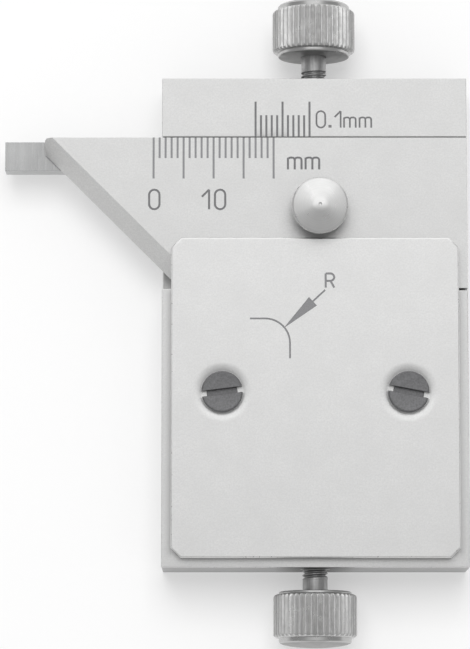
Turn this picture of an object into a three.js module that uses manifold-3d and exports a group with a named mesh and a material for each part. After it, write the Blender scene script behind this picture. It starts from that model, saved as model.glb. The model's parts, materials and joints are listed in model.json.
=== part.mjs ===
// Radius gauge for rounded outside corners, in millimetres.
// The gauge lies on its back: +Z comes out of the graduated front, +Y points to the vernier rail.
// The origin is the centre of the body's back face.

import * as THREE from 'three';
import { mergeVertices } from 'three/addons/utils/BufferGeometryUtils.js';
import Module from 'manifold-3d';

const wasm = await Module();
wasm.setup();

// Body: one block with a rail on top, a channel for the slide and a solid block below
const bodyWidth = 50.8;
const bodyThickness = 12;
const railHeight = 10;
const channelHeight = 25.85;
const channelFloor = 4;
const edgeBreak = 0.3;

// Clearances between pieces that run on each other, and between fixed pieces
const runningGap = 0.05;
const floorGap = 0.1;
const boreGap = 0.06;
const overrun = 1;

// Slide: a plate with the slanted measuring edge, a keel in the channel and a rib under the rail
const slideTopGap = 0.15;
const slideBottomGap = 0.4;
const slidePlateThickness = 4.05;
const slideOverhang = 19.6;
const restReading = 17;
const bevelSetback = 3.6;
const edgeLand = 0.12;
const edgeRelief = 0.5;
const keelSide = 3.5;
const ribDepth = 1;
const ribThickness = 1.5;
const ribBelowFront = 1.55;

// Contact arm: a bar behind the slide, and the strip that guides its lower face
const armHeight = 4.9;
const armThickness = 3.7;
const armReach = 26.4;
const armLength = 65.8;
const guideStripHeight = 4.1;
const guideStripThickness = 3.7;
const guideStripEndGap = 0.3;
const guideScrewInset = 7.1;
const guideScrewRadius = 1.2;
const guideScrewHeadRadius = 2.3;
const guideScrewHeadSink = 0.2;
const guideScrewEngagement = 3;

// Stop pins in the channel floor, and how far the slide and the arm travel each way
const slideTravelOut = 3;
const slideTravelIn = 17;
const slidePinFromRight = 20.4;
const slidePinAboveBlock = 6.95;
const slidePinRadius = 1;
const slidePinReach = 2.4;
const armTravelOut = 8;
const armTravelIn = 10;
const armPinX = 0;
const armPinRadius = 0.75;
const armPinReach = 1.8;
const pinSeatDepth = 2.6;
const pinSlotGap = 0.1;

// Cover plate over the lower half of the slide
const coverSideInset = 1.6;
const coverHeight = 53.1;
const coverThickness = 2;
const coverAboveBottom = 1.45;
const coverCorner = 2;
const coverEdgeBreak = 0.25;
const coverDowelRadius = 1.25;
const coverDowelLength = 5.2;
const coverDowelInPlate = 1.2;
const coverDowelInset = 4.3;
const coverDowelAboveBottom = 5.45;
const coverDowelBelowBlockTop = 5.55;

// Slotted cover screws, each in a shallow dish
const coverScrewInset = 8.43;
const coverScrewBelowBlockTop = 17.15;
const screwHeadRadius = 3.4;
const screwHeadHeight = 2;
const screwHeadEdge = 0.3;
const screwShoulderRadius = 2.5;
const screwThreadRadius = 1.95;
const screwThreadLength = 7.5;
const screwSlotWidth = 1.05;
const screwSlotTurnLeft = 6.9;
const screwSlotTurnRight = -10.9;
const dishRadius = 4.75;
const dishDepth = 0.35;

// Thumb button on the slide and the screw that holds it from behind
const buttonX = 0.8;
const buttonAboveCover = 0.3;
const buttonRadius = 4.65;
const buttonRimHeight = 5.4;
const buttonRimThickness = 0.5;
const buttonConeHeight = 0.9;
const buttonPipRadius = 0.45;
const buttonNeckRadius = 2.9;
const buttonNeckHeight = 2.6;
const buttonScrewRadius = 1.5;
const buttonScrewHeadRadius = 2.6;
const buttonScrewHeadHeight = 2;
const buttonScrewReach = 3.4;
const buttonScrewWall = 0.5;
const buttonSpotRadius = 5.8;
const buttonSpotDepth = 0.15;

// Clamp screws above and below, each a knurled knob on a threaded stud
const clampX = 0;
const clampZ = 7.2;
const knobRadius = 6.93;
const knobLength = 8.2;
const knobRimRadius = 5.95;
const knobRimLength = 0.45;
const knobChamferLength = 0.65;
const knobDomeHeight = 1.05;
const knurlTeeth = 43;
const knurlDepth = 0.42;
const knurlCrestShare = 0.3;
const knobBoreDepth = 5.5;
const upperKnobStandoff = 4.7;
const lowerKnobStandoff = 3.7;
const studRadius = 2.1;
const studNeckLength = 2;
const studNeckUndercut = 0.12;
const threadPitch = 0.7;
const threadDepth = 0.38;
const threadTurnsShown = 6;
const studTipRadius = 1.5;
const studTipLength = 1.6;
const clampBackOff = 1.4;
const clampBite = 0.25;

// Upper clamping shoe, which bears on the contact arm
const shoeWidth = 7.6;
const shoeHeight = 2;
const shoeThickness = 3.1;
const shoeSideGap = 0.15;
const shoeAboveFloor = 0.4;

// Lower clamp: stud, push rod and gib strip, which bears on the slide's lower edge
const lowerStudDepth = 14;
const pushRodRadius = 1.8;
const gibLength = 28;
const gibHeight = 1.9;
const gibThickness = 4.4;
const gibSideGap = 0.15;

// Facets of the round pieces
const roundSteps = 24;
const fineRoundSteps = 36;

// The arm, its guide strip and the button lie one below the other between the rail and the cover plate,
// so the block is as high as the cover plate needs
const railToArm = floorGap + armHeight;
const railToKeel = railToArm + runningGap + guideStripHeight + runningGap;
const railToButton = railToKeel + buttonScrewWall + buttonScrewHeadRadius;
const railToCover = railToButton + buttonRadius + buttonAboveCover;
const blockHeight = railToCover + coverHeight + coverAboveBottom - channelHeight;

// Places worked out from the sizes above
const bodyTop = (railHeight + channelHeight + blockHeight) / 2;
const bodyBottom = -bodyTop;
const bodyRight = bodyWidth / 2;
const bodyLeft = -bodyRight;
const railEdge = bodyTop - railHeight;
const blockTop = railEdge - channelHeight;
const slideTop = railEdge - slideTopGap;
const slideBottom = blockTop + slideBottomGap;
const slideFront = bodyThickness - runningGap;
const slidePlateBack = slideFront - slidePlateThickness;
const slideBack = channelFloor + floorGap;
const armTop = railEdge - floorGap;
const armBottom = railEdge - railToArm;
const armLeft = bodyLeft - armReach;
const armRight = armLeft + armLength;
const armFront = slideBack + armThickness;
const guideTop = armBottom - runningGap;
const guideBottom = guideTop - guideStripHeight;
const guideFront = channelFloor + guideStripThickness;
const guideRight = bodyRight - guideStripEndGap;
const keelTop = railEdge - railToKeel;
const slideLeft = bodyLeft - slideOverhang;
const keelLeft = bodyLeft + keelSide;
const buttonY = railEdge - railToButton;
const slidePinX = bodyRight - slidePinFromRight;
const slidePinY = blockTop + slidePinAboveBlock;
const coverWidth = bodyWidth - 2 * coverSideInset;
const coverBottom = bodyBottom + coverAboveBottom;
const coverTop = coverBottom + coverHeight;
const coverScrewX = coverWidth / 2 - coverScrewInset;
const coverScrewY = blockTop - coverScrewBelowBlockTop;
const coverDowelX = coverWidth / 2 - coverDowelInset;
const coverDowelLowY = coverBottom + coverDowelAboveBottom;
const coverDowelHighY = blockTop - coverDowelBelowBlockTop;
const coverFront = bodyThickness + coverThickness;
const dishFloor = coverFront - dishDepth;

// Measuring edge: at a reading of zero it passes through the corner of the two contact faces
const measuringEdgeSum = bodyLeft + armBottom - restReading;
const measuringEdgeX = (y) => measuringEdgeSum - y;

// Turns a closed geometry into a solid for cutting and joining
function solidOf(geometry) {
  const bare = geometry.index ? geometry.toNonIndexed() : geometry.clone();
  bare.deleteAttribute('normal');
  bare.deleteAttribute('uv');
  const merged = mergeVertices(bare);
  return new wasm.Manifold(new wasm.Mesh({
    numProp: 3,
    vertProperties: new Float32Array(merged.attributes.position.array),
    triVerts: new Uint32Array(merged.index.array),
  }));
}

// Turns a solid back into a geometry
function geometryOf(solid) {
  const cut = solid.getMesh();
  const geometry = new THREE.BufferGeometry();
  geometry.setAttribute('position', new THREE.BufferAttribute(new Float32Array(cut.vertProperties), 3));
  geometry.setIndex(new THREE.BufferAttribute(new Uint32Array(cut.triVerts), 1));
  geometry.computeVertexNormals();
  return geometry;
}

// Solid box between two corners
function boxSolid(xFrom, xTo, yFrom, yTo, zFrom, zTo) {
  const geometry = new THREE.BoxGeometry(xTo - xFrom, yTo - yFrom, zTo - zFrom);
  geometry.translate((xFrom + xTo) / 2, (yFrom + yTo) / 2, (zFrom + zTo) / 2);
  return solidOf(geometry);
}

// Prism of an outline drawn in X and Y, with broken edges where bevel isn't zero
function outlinePrism(shape, zFrom, zTo, bevel) {
  const geometry = new THREE.ExtrudeGeometry(shape, {
    depth: zTo - zFrom - 2 * bevel,
    bevelEnabled: bevel > 0,
    bevelSize: bevel,
    bevelThickness: bevel,
    bevelOffset: -bevel,
    bevelSegments: 1,
    steps: 1,
    curveSegments: roundSteps / 2,
  });
  geometry.translate(0, 0, zFrom + bevel);
  return geometry;
}

// Prism along X of an outline drawn in Y and Z
function lengthwisePrism(points, xFrom, xTo, bevel) {
  const geometry = outlinePrism(new THREE.Shape(points), xFrom, xTo, bevel);
  const yAxis = new THREE.Vector3(0, 1, 0);
  const zAxis = new THREE.Vector3(0, 0, 1);
  const xAxis = new THREE.Vector3(1, 0, 0);
  geometry.applyMatrix4(new THREE.Matrix4().makeBasis(yAxis, zAxis, xAxis));
  return solidOf(geometry);
}

// Turned solid about the Y axis; each profile point is [radius, height]
function turnedAlongY(profile, steps) {
  const points = profile.map(([radius, height]) => new THREE.Vector2(radius, height));
  return solidOf(new THREE.LatheGeometry(points, steps));
}

// Turned solid about an axis along Z through x and y
function turnedAlongZ(profile, x, y, steps) {
  const points = profile.map(([radius, height]) => new THREE.Vector2(radius, height));
  const geometry = new THREE.LatheGeometry(points, steps);
  geometry.rotateX(Math.PI / 2);
  geometry.translate(x, y, 0);
  return solidOf(geometry);
}

// Plain cylinder along Z
function cylinderAlongZ(radius, zFrom, zTo, x, y) {
  return turnedAlongZ([[0, zFrom], [radius, zFrom], [radius, zTo], [0, zTo]], x, y, roundSteps);
}

// Plain cylinder along Y on the clamp axis
function cylinderAlongY(radius, yFrom, yTo) {
  const profile = [[0, yFrom], [radius, yFrom], [radius, yTo], [0, yTo]];
  return turnedAlongY(profile, roundSteps).translate([clampX, 0, clampZ]);
}

// Slot with round ends, along X
function slotSolid(xFrom, xTo, y, halfWidth, zFrom, zTo) {
  const shape = new THREE.Shape();
  shape.moveTo(xFrom + halfWidth, y - halfWidth);
  shape.lineTo(xTo - halfWidth, y - halfWidth);
  shape.absarc(xTo - halfWidth, y, halfWidth, -Math.PI / 2, Math.PI / 2, false);
  shape.lineTo(xFrom + halfWidth, y + halfWidth);
  shape.absarc(xFrom + halfWidth, y, halfWidth, Math.PI / 2, Math.PI * 1.5, false);
  return solidOf(outlinePrism(shape, zFrom, zTo, 0));
}

const gauge = new THREE.Group();

// Adds one named piece to a group
function addPiece(group, name, solid, material) {
  const mesh = new THREE.Mesh(geometryOf(solid), material);
  mesh.name = name;
  group.add(mesh);
  return mesh;
}

// Materials
const satinChrome = (color) => new THREE.MeshStandardMaterial({ color, roughness: 0.55, metalness: 0.6 });
const groundSteel = (color) => new THREE.MeshStandardMaterial({ color, roughness: 0.4, metalness: 0.9 });
const blackSteel = () => new THREE.MeshStandardMaterial({ color: 0x55585c, roughness: 0.45, metalness: 0.8 });
const brass = () => new THREE.MeshStandardMaterial({ color: 0xb9974e, roughness: 0.4, metalness: 0.9 });

// Body
const bodyProfile = [
  [bodyBottom + edgeBreak, 0],
  [bodyTop - edgeBreak, 0],
  [bodyTop, edgeBreak],
  [bodyTop, bodyThickness - edgeBreak],
  [bodyTop - edgeBreak, bodyThickness],
  [railEdge, bodyThickness],
  [railEdge, slideFront - ribBelowFront + runningGap],
  [railEdge + ribDepth + runningGap, slideFront - ribBelowFront + runningGap],
  [railEdge + ribDepth + runningGap, slideFront - ribBelowFront - ribThickness - runningGap],
  [railEdge, slideFront - ribBelowFront - ribThickness - runningGap],
  [railEdge, channelFloor],
  [blockTop, channelFloor],
  [blockTop, bodyThickness],
  [bodyBottom + edgeBreak, bodyThickness],
  [bodyBottom, bodyThickness - edgeBreak],
  [bodyBottom, edgeBreak],
].map(([y, z]) => new THREE.Vector2(y, z));

const shoeBack = channelFloor + shoeAboveFloor;
const shoeFront = shoeBack + shoeThickness;
const shoeBottom = armTop + clampBite;
const shoeTop = shoeBottom + shoeHeight;
const gibTop = slideBottom - clampBite;
const gibBottom = gibTop - gibHeight;
const gibBack = clampZ - gibThickness / 2;
const gibFront = clampZ + gibThickness / 2;
const lowerStudTip = bodyBottom + lowerStudDepth;
const threadBoreRadius = studRadius + boreGap;

// Room that lets the shoe back off, over a bore for the stud that stays above the rib's groove
function upperClampRoom() {
  const pocket = boxSolid(
    clampX - shoeWidth / 2 - shoeSideGap, clampX + shoeWidth / 2 + shoeSideGap,
    railEdge - overrun, shoeTop + clampBackOff + shoeSideGap,
    shoeBack - shoeSideGap, shoeFront + shoeSideGap,
  );
  return pocket.add(cylinderAlongY(threadBoreRadius, shoeTop - clampBite - shoeSideGap, bodyTop + overrun));
}

// Bores for the lower stud and push rod, and the pocket of the gib strip
function lowerClampRoom() {
  const pocket = boxSolid(
    clampX - gibLength / 2 - gibSideGap, clampX + gibLength / 2 + gibSideGap,
    gibBottom - clampBackOff - gibSideGap, blockTop + overrun,
    gibBack - gibSideGap, gibFront + gibSideGap,
  );
  const rodBore = cylinderAlongY(pushRodRadius + boreGap, lowerStudTip, blockTop - gibHeight);
  const studBore = cylinderAlongY(threadBoreRadius, bodyBottom - overrun, lowerStudTip + clampBite + gibSideGap);
  return pocket.add(rodBore).add(studBore);
}

// Countersunk hole from the back for a screw of the guide strip
function guideScrewProfile(gap) {
  const headRadius = guideScrewHeadRadius + gap;
  const shankRadius = guideScrewRadius + gap;
  const coneEnd = guideScrewHeadSink + headRadius - shankRadius;
  return { headRadius, shankRadius, coneEnd };
}

const guideScrewY = (guideTop + guideBottom) / 2;
const guideScrewXs = [guideScrewInset - guideRight, guideRight - guideScrewInset];

function guideScrewHole(x) {
  const { headRadius, shankRadius, coneEnd } = guideScrewProfile(boreGap);
  return turnedAlongZ([
    [0, -overrun],
    [headRadius, -overrun],
    [headRadius, guideScrewHeadSink],
    [shankRadius, coneEnd],
    [shankRadius, channelFloor + overrun],
    [0, channelFloor + overrun],
  ], x, guideScrewY, roundSteps);
}

const armPinY = (armTop + armBottom) / 2;
const coverScrewXs = [-coverScrewX, coverScrewX];
const coverDowels = [[-coverDowelX, coverDowelLowY], [coverDowelX, coverDowelHighY]];
const coverDowelFrom = bodyThickness + coverDowelInPlate - coverDowelLength;

function makeBody() {
  let body = lengthwisePrism(bodyProfile, bodyLeft, bodyRight, edgeBreak);
  body = body.subtract(upperClampRoom()).subtract(lowerClampRoom());
  for (const x of guideScrewXs) {
    body = body.subtract(guideScrewHole(x));
  }
  const pinFloor = channelFloor - pinSeatDepth;
  body = body.subtract(cylinderAlongZ(slidePinRadius + boreGap, pinFloor, bodyThickness, slidePinX, slidePinY));
  body = body.subtract(cylinderAlongZ(armPinRadius + boreGap, pinFloor, channelFloor + overrun, armPinX, armPinY));
  const screwHoleFloor = bodyThickness - screwThreadLength - overrun;
  for (const x of coverScrewXs) {
    const hole = cylinderAlongZ(screwThreadRadius + boreGap, screwHoleFloor, coverFront, x, coverScrewY);
    body = body.subtract(hole);
  }
  for (const [x, y] of coverDowels) {
    body = body.subtract(cylinderAlongZ(coverDowelRadius + boreGap, coverDowelFrom, coverFront, x, y));
  }
  return body;
}

addPiece(gauge, 'body', makeBody(), satinChrome(0xd8d9da));

// Cutter that runs along the slanted edge; u is the distance out of the edge, square to it
function slantedCutter(points) {
  const outward = new THREE.Vector3(-1, -1, 0).normalize();
  const upward = new THREE.Vector3(0, 0, 1);
  const along = new THREE.Vector3().crossVectors(outward, upward);
  const reach = slideTop - slideBottom + bodyWidth;
  const shape = new THREE.Shape(points.map(([u, z]) => new THREE.Vector2(u, z)));
  const geometry = outlinePrism(shape, -reach, reach, 0);
  geometry.applyMatrix4(new THREE.Matrix4().makeBasis(outward, upward, along));
  geometry.translate(measuringEdgeX(slideBottom), slideBottom, 0);
  return solidOf(geometry);
}

// Slide
function makeSlide() {
  const plateShape = new THREE.Shape([
    new THREE.Vector2(bodyRight, slideTop),
    new THREE.Vector2(slideLeft, slideTop),
    new THREE.Vector2(slideLeft, measuringEdgeSum - slideLeft),
    new THREE.Vector2(measuringEdgeX(slideBottom), slideBottom),
    new THREE.Vector2(bodyRight, slideBottom),
  ]);
  const bevelDepth = bevelSetback / Math.SQRT2;
  const edgeBottom = slideFront - bevelDepth - edgeLand;
  let slide = solidOf(outlinePrism(plateShape, slidePlateBack, slideFront, 0));
  slide = slide.subtract(slantedCutter([
    [overrun, slideFront - bevelDepth - overrun],
    [overrun, slideFront + overrun],
    [-bevelDepth - overrun, slideFront + overrun],
  ]));
  slide = slide.subtract(slantedCutter([
    [0, edgeBottom],
    [-edgeRelief, slidePlateBack],
    [-edgeRelief, slidePlateBack - overrun],
    [overrun, slidePlateBack - overrun],
    [overrun, edgeBottom],
  ]));
  const keel = boxSolid(keelLeft, bodyRight, slideBottom, keelTop, slideBack, slidePlateBack + edgeRelief);
  const ribFront = slideFront - ribBelowFront;
  const rib = boxSolid(keelLeft, bodyRight, slideTop - ribDepth, slideTop + ribDepth, ribFront - ribThickness, ribFront);
  slide = slide.add(keel).add(rib);
  const slotFrom = slidePinX - slideTravelIn - slidePinRadius - pinSlotGap;
  const slotTo = slidePinX + slideTravelOut + slidePinRadius + pinSlotGap;
  const slotDepth = channelFloor + slidePinReach + floorGap;
  const slotHalfWidth = slidePinRadius + pinSlotGap;
  slide = slide.subtract(slotSolid(slotFrom, slotTo, slidePinY, slotHalfWidth, slideBack - overrun, slotDepth));
  slide = slide.subtract(turnedAlongZ([
    [0, slideBack - overrun],
    [buttonScrewHeadRadius + boreGap, slideBack - overrun],
    [buttonScrewHeadRadius + boreGap, slideBack + buttonScrewHeadHeight + floorGap],
    [buttonScrewRadius + boreGap, slideBack + buttonScrewHeadHeight + floorGap],
    [buttonScrewRadius + boreGap, slideFront + overrun],
    [0, slideFront + overrun],
  ], buttonX, buttonY, roundSteps));
  return slide.subtract(turnedAlongZ([
    [0, slideFront - buttonSpotDepth],
    [buttonNeckRadius, slideFront - buttonSpotDepth],
    [buttonSpotRadius, slideFront],
    [buttonSpotRadius, slideFront + overrun],
    [0, slideFront + overrun],
  ], buttonX, buttonY, fineRoundSteps));
}

const slideGroup = new THREE.Group();
gauge.add(slideGroup);
addPiece(slideGroup, 'slide', makeSlide(), satinChrome(0xdadbdc));

// Thumb button and its screw
const buttonBase = slideFront - buttonSpotDepth;
const buttonRimTop = slideFront + buttonRimHeight;
const buttonTop = buttonRimTop + buttonConeHeight;
const buttonBoreTop = slideFront + buttonScrewReach + floorGap;

function makeButton() {
  const blank = turnedAlongZ([
    [0, buttonBase],
    [buttonNeckRadius, buttonBase],
    [buttonNeckRadius, slideFront + buttonNeckHeight],
    [buttonRadius, buttonRimTop - buttonRimThickness],
    [buttonRadius, buttonRimTop],
    [buttonPipRadius, buttonTop],
    [0, buttonTop],
  ], 0, 0, fineRoundSteps);
  return blank.subtract(cylinderAlongZ(buttonScrewRadius + boreGap, buttonBase - overrun, buttonBoreTop, 0, 0));
}

function makeButtonScrew() {
  const headTop = slideBack + buttonScrewHeadHeight;
  return turnedAlongZ([
    [0, slideBack],
    [buttonScrewHeadRadius, slideBack],
    [buttonScrewHeadRadius, headTop],
    [buttonScrewRadius, headTop],
    [buttonScrewRadius, slideFront + buttonScrewReach],
    [0, slideFront + buttonScrewReach],
  ], 0, 0, roundSteps);
}

addPiece(slideGroup, 'thumb_button', makeButton(), groundSteel(0xd2d3d4)).position.set(buttonX, buttonY, 0);
addPiece(slideGroup, 'button_screw', makeButtonScrew(), blackSteel()).position.set(buttonX, buttonY, 0);

// Contact arm with the slot of its stop pin
const armGroup = new THREE.Group();
gauge.add(armGroup);

function makeArm() {
  const profile = [
    [armBottom, slideBack],
    [armTop, slideBack],
    [armTop, armFront],
    [armBottom, armFront],
  ].map(([y, z]) => new THREE.Vector2(y, z));
  const bar = lengthwisePrism(profile, armLeft, armRight, runningGap);
  const slotFrom = armPinX - armTravelIn - armPinRadius - pinSlotGap;
  const slotTo = armPinX + armTravelOut + armPinRadius + pinSlotGap;
  const slotDepth = channelFloor + armPinReach + floorGap;
  return bar.subtract(slotSolid(slotFrom, slotTo, armPinY, armPinRadius + pinSlotGap, slideBack - overrun, slotDepth));
}

addPiece(armGroup, 'contact_arm', makeArm(), groundSteel(0xa9abad));

// Guide strip and its two screws from the back
function makeGuideStrip() {
  let strip = boxSolid(-guideRight, guideRight, guideBottom, guideTop, channelFloor, guideFront);
  const { shankRadius } = guideScrewProfile(boreGap);
  const holeTop = channelFloor + guideScrewEngagement + floorGap;
  for (const x of guideScrewXs) {
    strip = strip.subtract(cylinderAlongZ(shankRadius, channelFloor - overrun, holeTop, x, guideScrewY));
  }
  return strip;
}

function makeGuideScrew() {
  const { headRadius, shankRadius, coneEnd } = guideScrewProfile(0);
  const tip = channelFloor + guideScrewEngagement;
  const driveRadius = shankRadius / 2;
  const blank = turnedAlongZ([
    [0, floorGap],
    [headRadius, floorGap],
    [headRadius, guideScrewHeadSink],
    [shankRadius, coneEnd],
    [shankRadius, tip],
    [0, tip],
  ], 0, 0, roundSteps);
  const slot = boxSolid(-headRadius - overrun, headRadius + overrun, -driveRadius / 2, driveRadius / 2, 0, coneEnd / 2);
  return blank.subtract(slot);
}

addPiece(gauge, 'arm_guide_strip', makeGuideStrip(), groundSteel(0x9fa2a5));
const guideScrewNames = ['guide_strip_screw_left', 'guide_strip_screw_right'];
guideScrewNames.forEach((name, index) => {
  addPiece(gauge, name, makeGuideScrew(), blackSteel()).position.set(guideScrewXs[index], guideScrewY, 0);
});

// Stop pins
function makeStopPin(radius, reach) {
  return cylinderAlongZ(radius, channelFloor - pinSeatDepth, channelFloor + reach, 0, 0);
}

addPiece(gauge, 'slide_stop_pin', makeStopPin(slidePinRadius, slidePinReach), groundSteel(0xb0b2b4))
  .position.set(slidePinX, slidePinY, 0);
addPiece(gauge, 'arm_stop_pin', makeStopPin(armPinRadius, armPinReach), groundSteel(0xb0b2b4))
  .position.set(armPinX, armPinY, 0);

// Cover plate with dished screw seats
function makeCoverPlate() {
  const halfWidth = coverWidth / 2;
  const shape = new THREE.Shape([
    new THREE.Vector2(-halfWidth + coverCorner, coverBottom),
    new THREE.Vector2(halfWidth - coverCorner, coverBottom),
    new THREE.Vector2(halfWidth, coverBottom + coverCorner),
    new THREE.Vector2(halfWidth, coverTop - coverCorner),
    new THREE.Vector2(halfWidth - coverCorner, coverTop),
    new THREE.Vector2(-halfWidth + coverCorner, coverTop),
    new THREE.Vector2(-halfWidth, coverTop - coverCorner),
    new THREE.Vector2(-halfWidth, coverBottom + coverCorner),
  ]);
  let plate = solidOf(outlinePrism(shape, bodyThickness, coverFront, coverEdgeBreak));
  for (const x of coverScrewXs) {
    plate = plate.subtract(turnedAlongZ([
      [0, bodyThickness - overrun],
      [screwShoulderRadius + boreGap, bodyThickness - overrun],
      [screwShoulderRadius + boreGap, dishFloor],
      [screwHeadRadius + boreGap, dishFloor],
      [dishRadius, coverFront],
      [dishRadius, coverFront + overrun],
      [0, coverFront + overrun],
    ], x, coverScrewY, fineRoundSteps));
  }
  for (const [x, y] of coverDowels) {
    const seatTop = bodyThickness + coverDowelInPlate + floorGap;
    plate = plate.subtract(cylinderAlongZ(coverDowelRadius + boreGap, bodyThickness - overrun, seatTop, x, y));
  }
  return plate;
}

addPiece(gauge, 'cover_plate', makeCoverPlate(), satinChrome(0xe2e3e4));

// Slotted screw: head, shoulder through the plate and thread in the block
function makeCoverScrew() {
  const headTop = dishFloor + screwHeadHeight;
  const blank = turnedAlongZ([
    [0, bodyThickness - screwThreadLength],
    [screwThreadRadius, bodyThickness - screwThreadLength],
    [screwThreadRadius, bodyThickness],
    [screwShoulderRadius, bodyThickness],
    [screwShoulderRadius, dishFloor],
    [screwHeadRadius, dishFloor],
    [screwHeadRadius, headTop - screwHeadEdge],
    [screwHeadRadius - screwHeadEdge, headTop],
    [0, headTop],
  ], 0, 0, fineRoundSteps);
  const halfSlot = screwSlotWidth / 2;
  const reach = screwHeadRadius + overrun;
  return blank.subtract(boxSolid(-reach, reach, -halfSlot, halfSlot, dishFloor + runningGap, headTop + overrun));
}

const coverScrewNames = ['cover_screw_left', 'cover_screw_right'];
const coverScrewTurns = [screwSlotTurnLeft, screwSlotTurnRight];
coverScrewNames.forEach((name, index) => {
  const screw = addPiece(gauge, name, makeCoverScrew(), blackSteel());
  screw.position.set(coverScrewXs[index], coverScrewY, 0);
  screw.rotation.z = THREE.MathUtils.degToRad(coverScrewTurns[index]);
});

const coverDowelNames = ['cover_dowel_lower', 'cover_dowel_upper'];
coverDowels.forEach(([x, y], index) => {
  const dowel = cylinderAlongZ(coverDowelRadius, coverDowelFrom, coverDowelFrom + coverDowelLength, 0, 0);
  addPiece(gauge, coverDowelNames[index], dowel, groundSteel(0xb0b2b4)).position.set(x, y, 0);
});

// Knurled ring: a toothed outline lofted through a chamfer at each end
function knurledRing(yFrom, yTo) {
  const pointsPerTooth = 3;
  const count = knurlTeeth * pointsPerTooth;
  const rootRadius = knobRadius - knurlDepth;
  const angles = [];
  const radii = [];
  for (let tooth = 0; tooth < knurlTeeth; tooth += 1) {
    for (const [share, radius] of [[-knurlCrestShare, knobRadius], [knurlCrestShare, knobRadius], [1, rootRadius]]) {
      angles.push(((tooth + share / 2) / knurlTeeth) * Math.PI * 2);
      radii.push(radius);
    }
  }
  const levels = [yFrom, yFrom + knobChamferLength, yTo - knobChamferLength, yTo];
  const positions = [];
  levels.forEach((y, level) => {
    const atEnd = level === 0 || level === levels.length - 1;
    for (let i = 0; i < count; i += 1) {
      const radius = atEnd ? Math.min(radii[i], knobRimRadius) : radii[i];
      positions.push(radius * Math.sin(angles[i]), y, radius * Math.cos(angles[i]));
    }
  });
  const indices = [];
  for (let level = 0; level < levels.length - 1; level += 1) {
    for (let i = 0; i < count; i += 1) {
      const next = (i + 1) % count;
      const low = level * count;
      const high = low + count;
      indices.push(low + i, low + next, high + next, low + i, high + next, high + i);
    }
  }
  const lowCentre = positions.length / 3;
  positions.push(0, yFrom, 0, 0, yTo, 0);
  for (let i = 0; i < count; i += 1) {
    const next = (i + 1) % count;
    const last = (levels.length - 1) * count;
    indices.push(lowCentre, next, i, lowCentre + 1, last + i, last + next);
  }
  const geometry = new THREE.BufferGeometry();
  geometry.setAttribute('position', new THREE.Float32BufferAttribute(positions, 3));
  geometry.setIndex(indices);
  return solidOf(geometry);
}

// Knob along +Y with its inner face at height zero
function makeKnob() {
  const barrelFrom = knobRimLength;
  const barrelTo = knobLength - knobRimLength;
  const domeSteps = 4;
  const profile = [[0, 0], [knobRimRadius, 0], [knobRimRadius, knobLength]];
  for (let step = 1; step <= domeSteps; step += 1) {
    const turn = (step / domeSteps) * (Math.PI / 2);
    const radius = step === domeSteps ? 0 : knobRimRadius * Math.cos(turn);
    profile.push([radius, knobLength + knobDomeHeight * Math.sin(turn)]);
  }
  const hub = turnedAlongY(profile, fineRoundSteps);
  const bore = turnedAlongY([
    [0, -overrun],
    [studRadius + boreGap, -overrun],
    [studRadius + boreGap, knobBoreDepth],
    [0, knobBoreDepth],
  ], roundSteps);
  return knurledRing(barrelFrom, barrelTo).add(hub).subtract(bore);
}

// Stud along +Y from its tip to its end in the knob; height zero is the face of the body
function makeStud(standoff, depth) {
  const neckFrom = standoff - studNeckLength;
  const root = studRadius - threadDepth;
  const profile = [[0, -depth], [studTipRadius, -depth], [studTipRadius, -depth + studTipLength]];
  const threadFrom = neckFrom - threadTurnsShown * threadPitch;
  profile.push([root, -depth + studTipLength], [studRadius, -depth + studTipLength + threadDepth]);
  profile.push([studRadius, threadFrom]);
  for (let turn = 0; turn < threadTurnsShown; turn += 1) {
    profile.push([root, threadFrom + (turn + 1 / 2) * threadPitch]);
    profile.push([studRadius, threadFrom + (turn + 1) * threadPitch]);
  }
  const neckRadius = studRadius - studNeckUndercut;
  profile.push([neckRadius, neckFrom + threadDepth], [neckRadius, standoff], [studRadius, standoff]);
  profile.push([studRadius, standoff + knobBoreDepth - floorGap], [0, standoff + knobBoreDepth - floorGap]);
  return turnedAlongY(profile, roundSteps);
}

// Each clamp has its own frame: +Y points out of the body along the clamp axis
function clampFrame(faceY, turn) {
  const frame = new THREE.Group();
  frame.position.set(clampX, faceY, clampZ);
  frame.rotation.z = turn;
  gauge.add(frame);
  return frame;
}

const upperClamp = clampFrame(bodyTop, 0);
addPiece(upperClamp, 'upper_clamp_knob', makeKnob(), groundSteel(0xb4b6b8)).position.y = upperKnobStandoff;
addPiece(upperClamp, 'upper_clamp_stud', makeStud(upperKnobStandoff, bodyTop - shoeTop), groundSteel(0x85888c));

const lowerClamp = clampFrame(bodyBottom, Math.PI);
addPiece(lowerClamp, 'lower_clamp_knob', makeKnob(), groundSteel(0xb4b6b8)).position.y = lowerKnobStandoff;
addPiece(lowerClamp, 'lower_clamp_stud', makeStud(lowerKnobStandoff, lowerStudDepth), groundSteel(0x85888c));

// Clamping shoe over the arm
const halfShoe = shoeWidth / 2;
addPiece(
  gauge,
  'upper_clamp_shoe',
  boxSolid(clampX - halfShoe, clampX + halfShoe, shoeBottom, shoeTop, shoeBack, shoeFront),
  brass(),
);

// Push rod and gib strip under the slide
const halfGib = gibLength / 2;
addPiece(gauge, 'lower_push_rod', cylinderAlongY(pushRodRadius, lowerStudTip, gibBottom), groundSteel(0x9fa2a5));
addPiece(
  gauge,
  'slide_gib_strip',
  boxSolid(clampX - halfGib, clampX + halfGib, gibBottom, gibTop, gibBack, gibFront),
  brass(),
);

export default gauge;
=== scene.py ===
"""Radius gauge: modelled pieces, finishes and studio around the fixed frame of its parts.

Lengths are in metres. +X is to the right of the graduated front, +Y towards the vernier rail and +Z out of
the front.
"""

import json
import math

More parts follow.
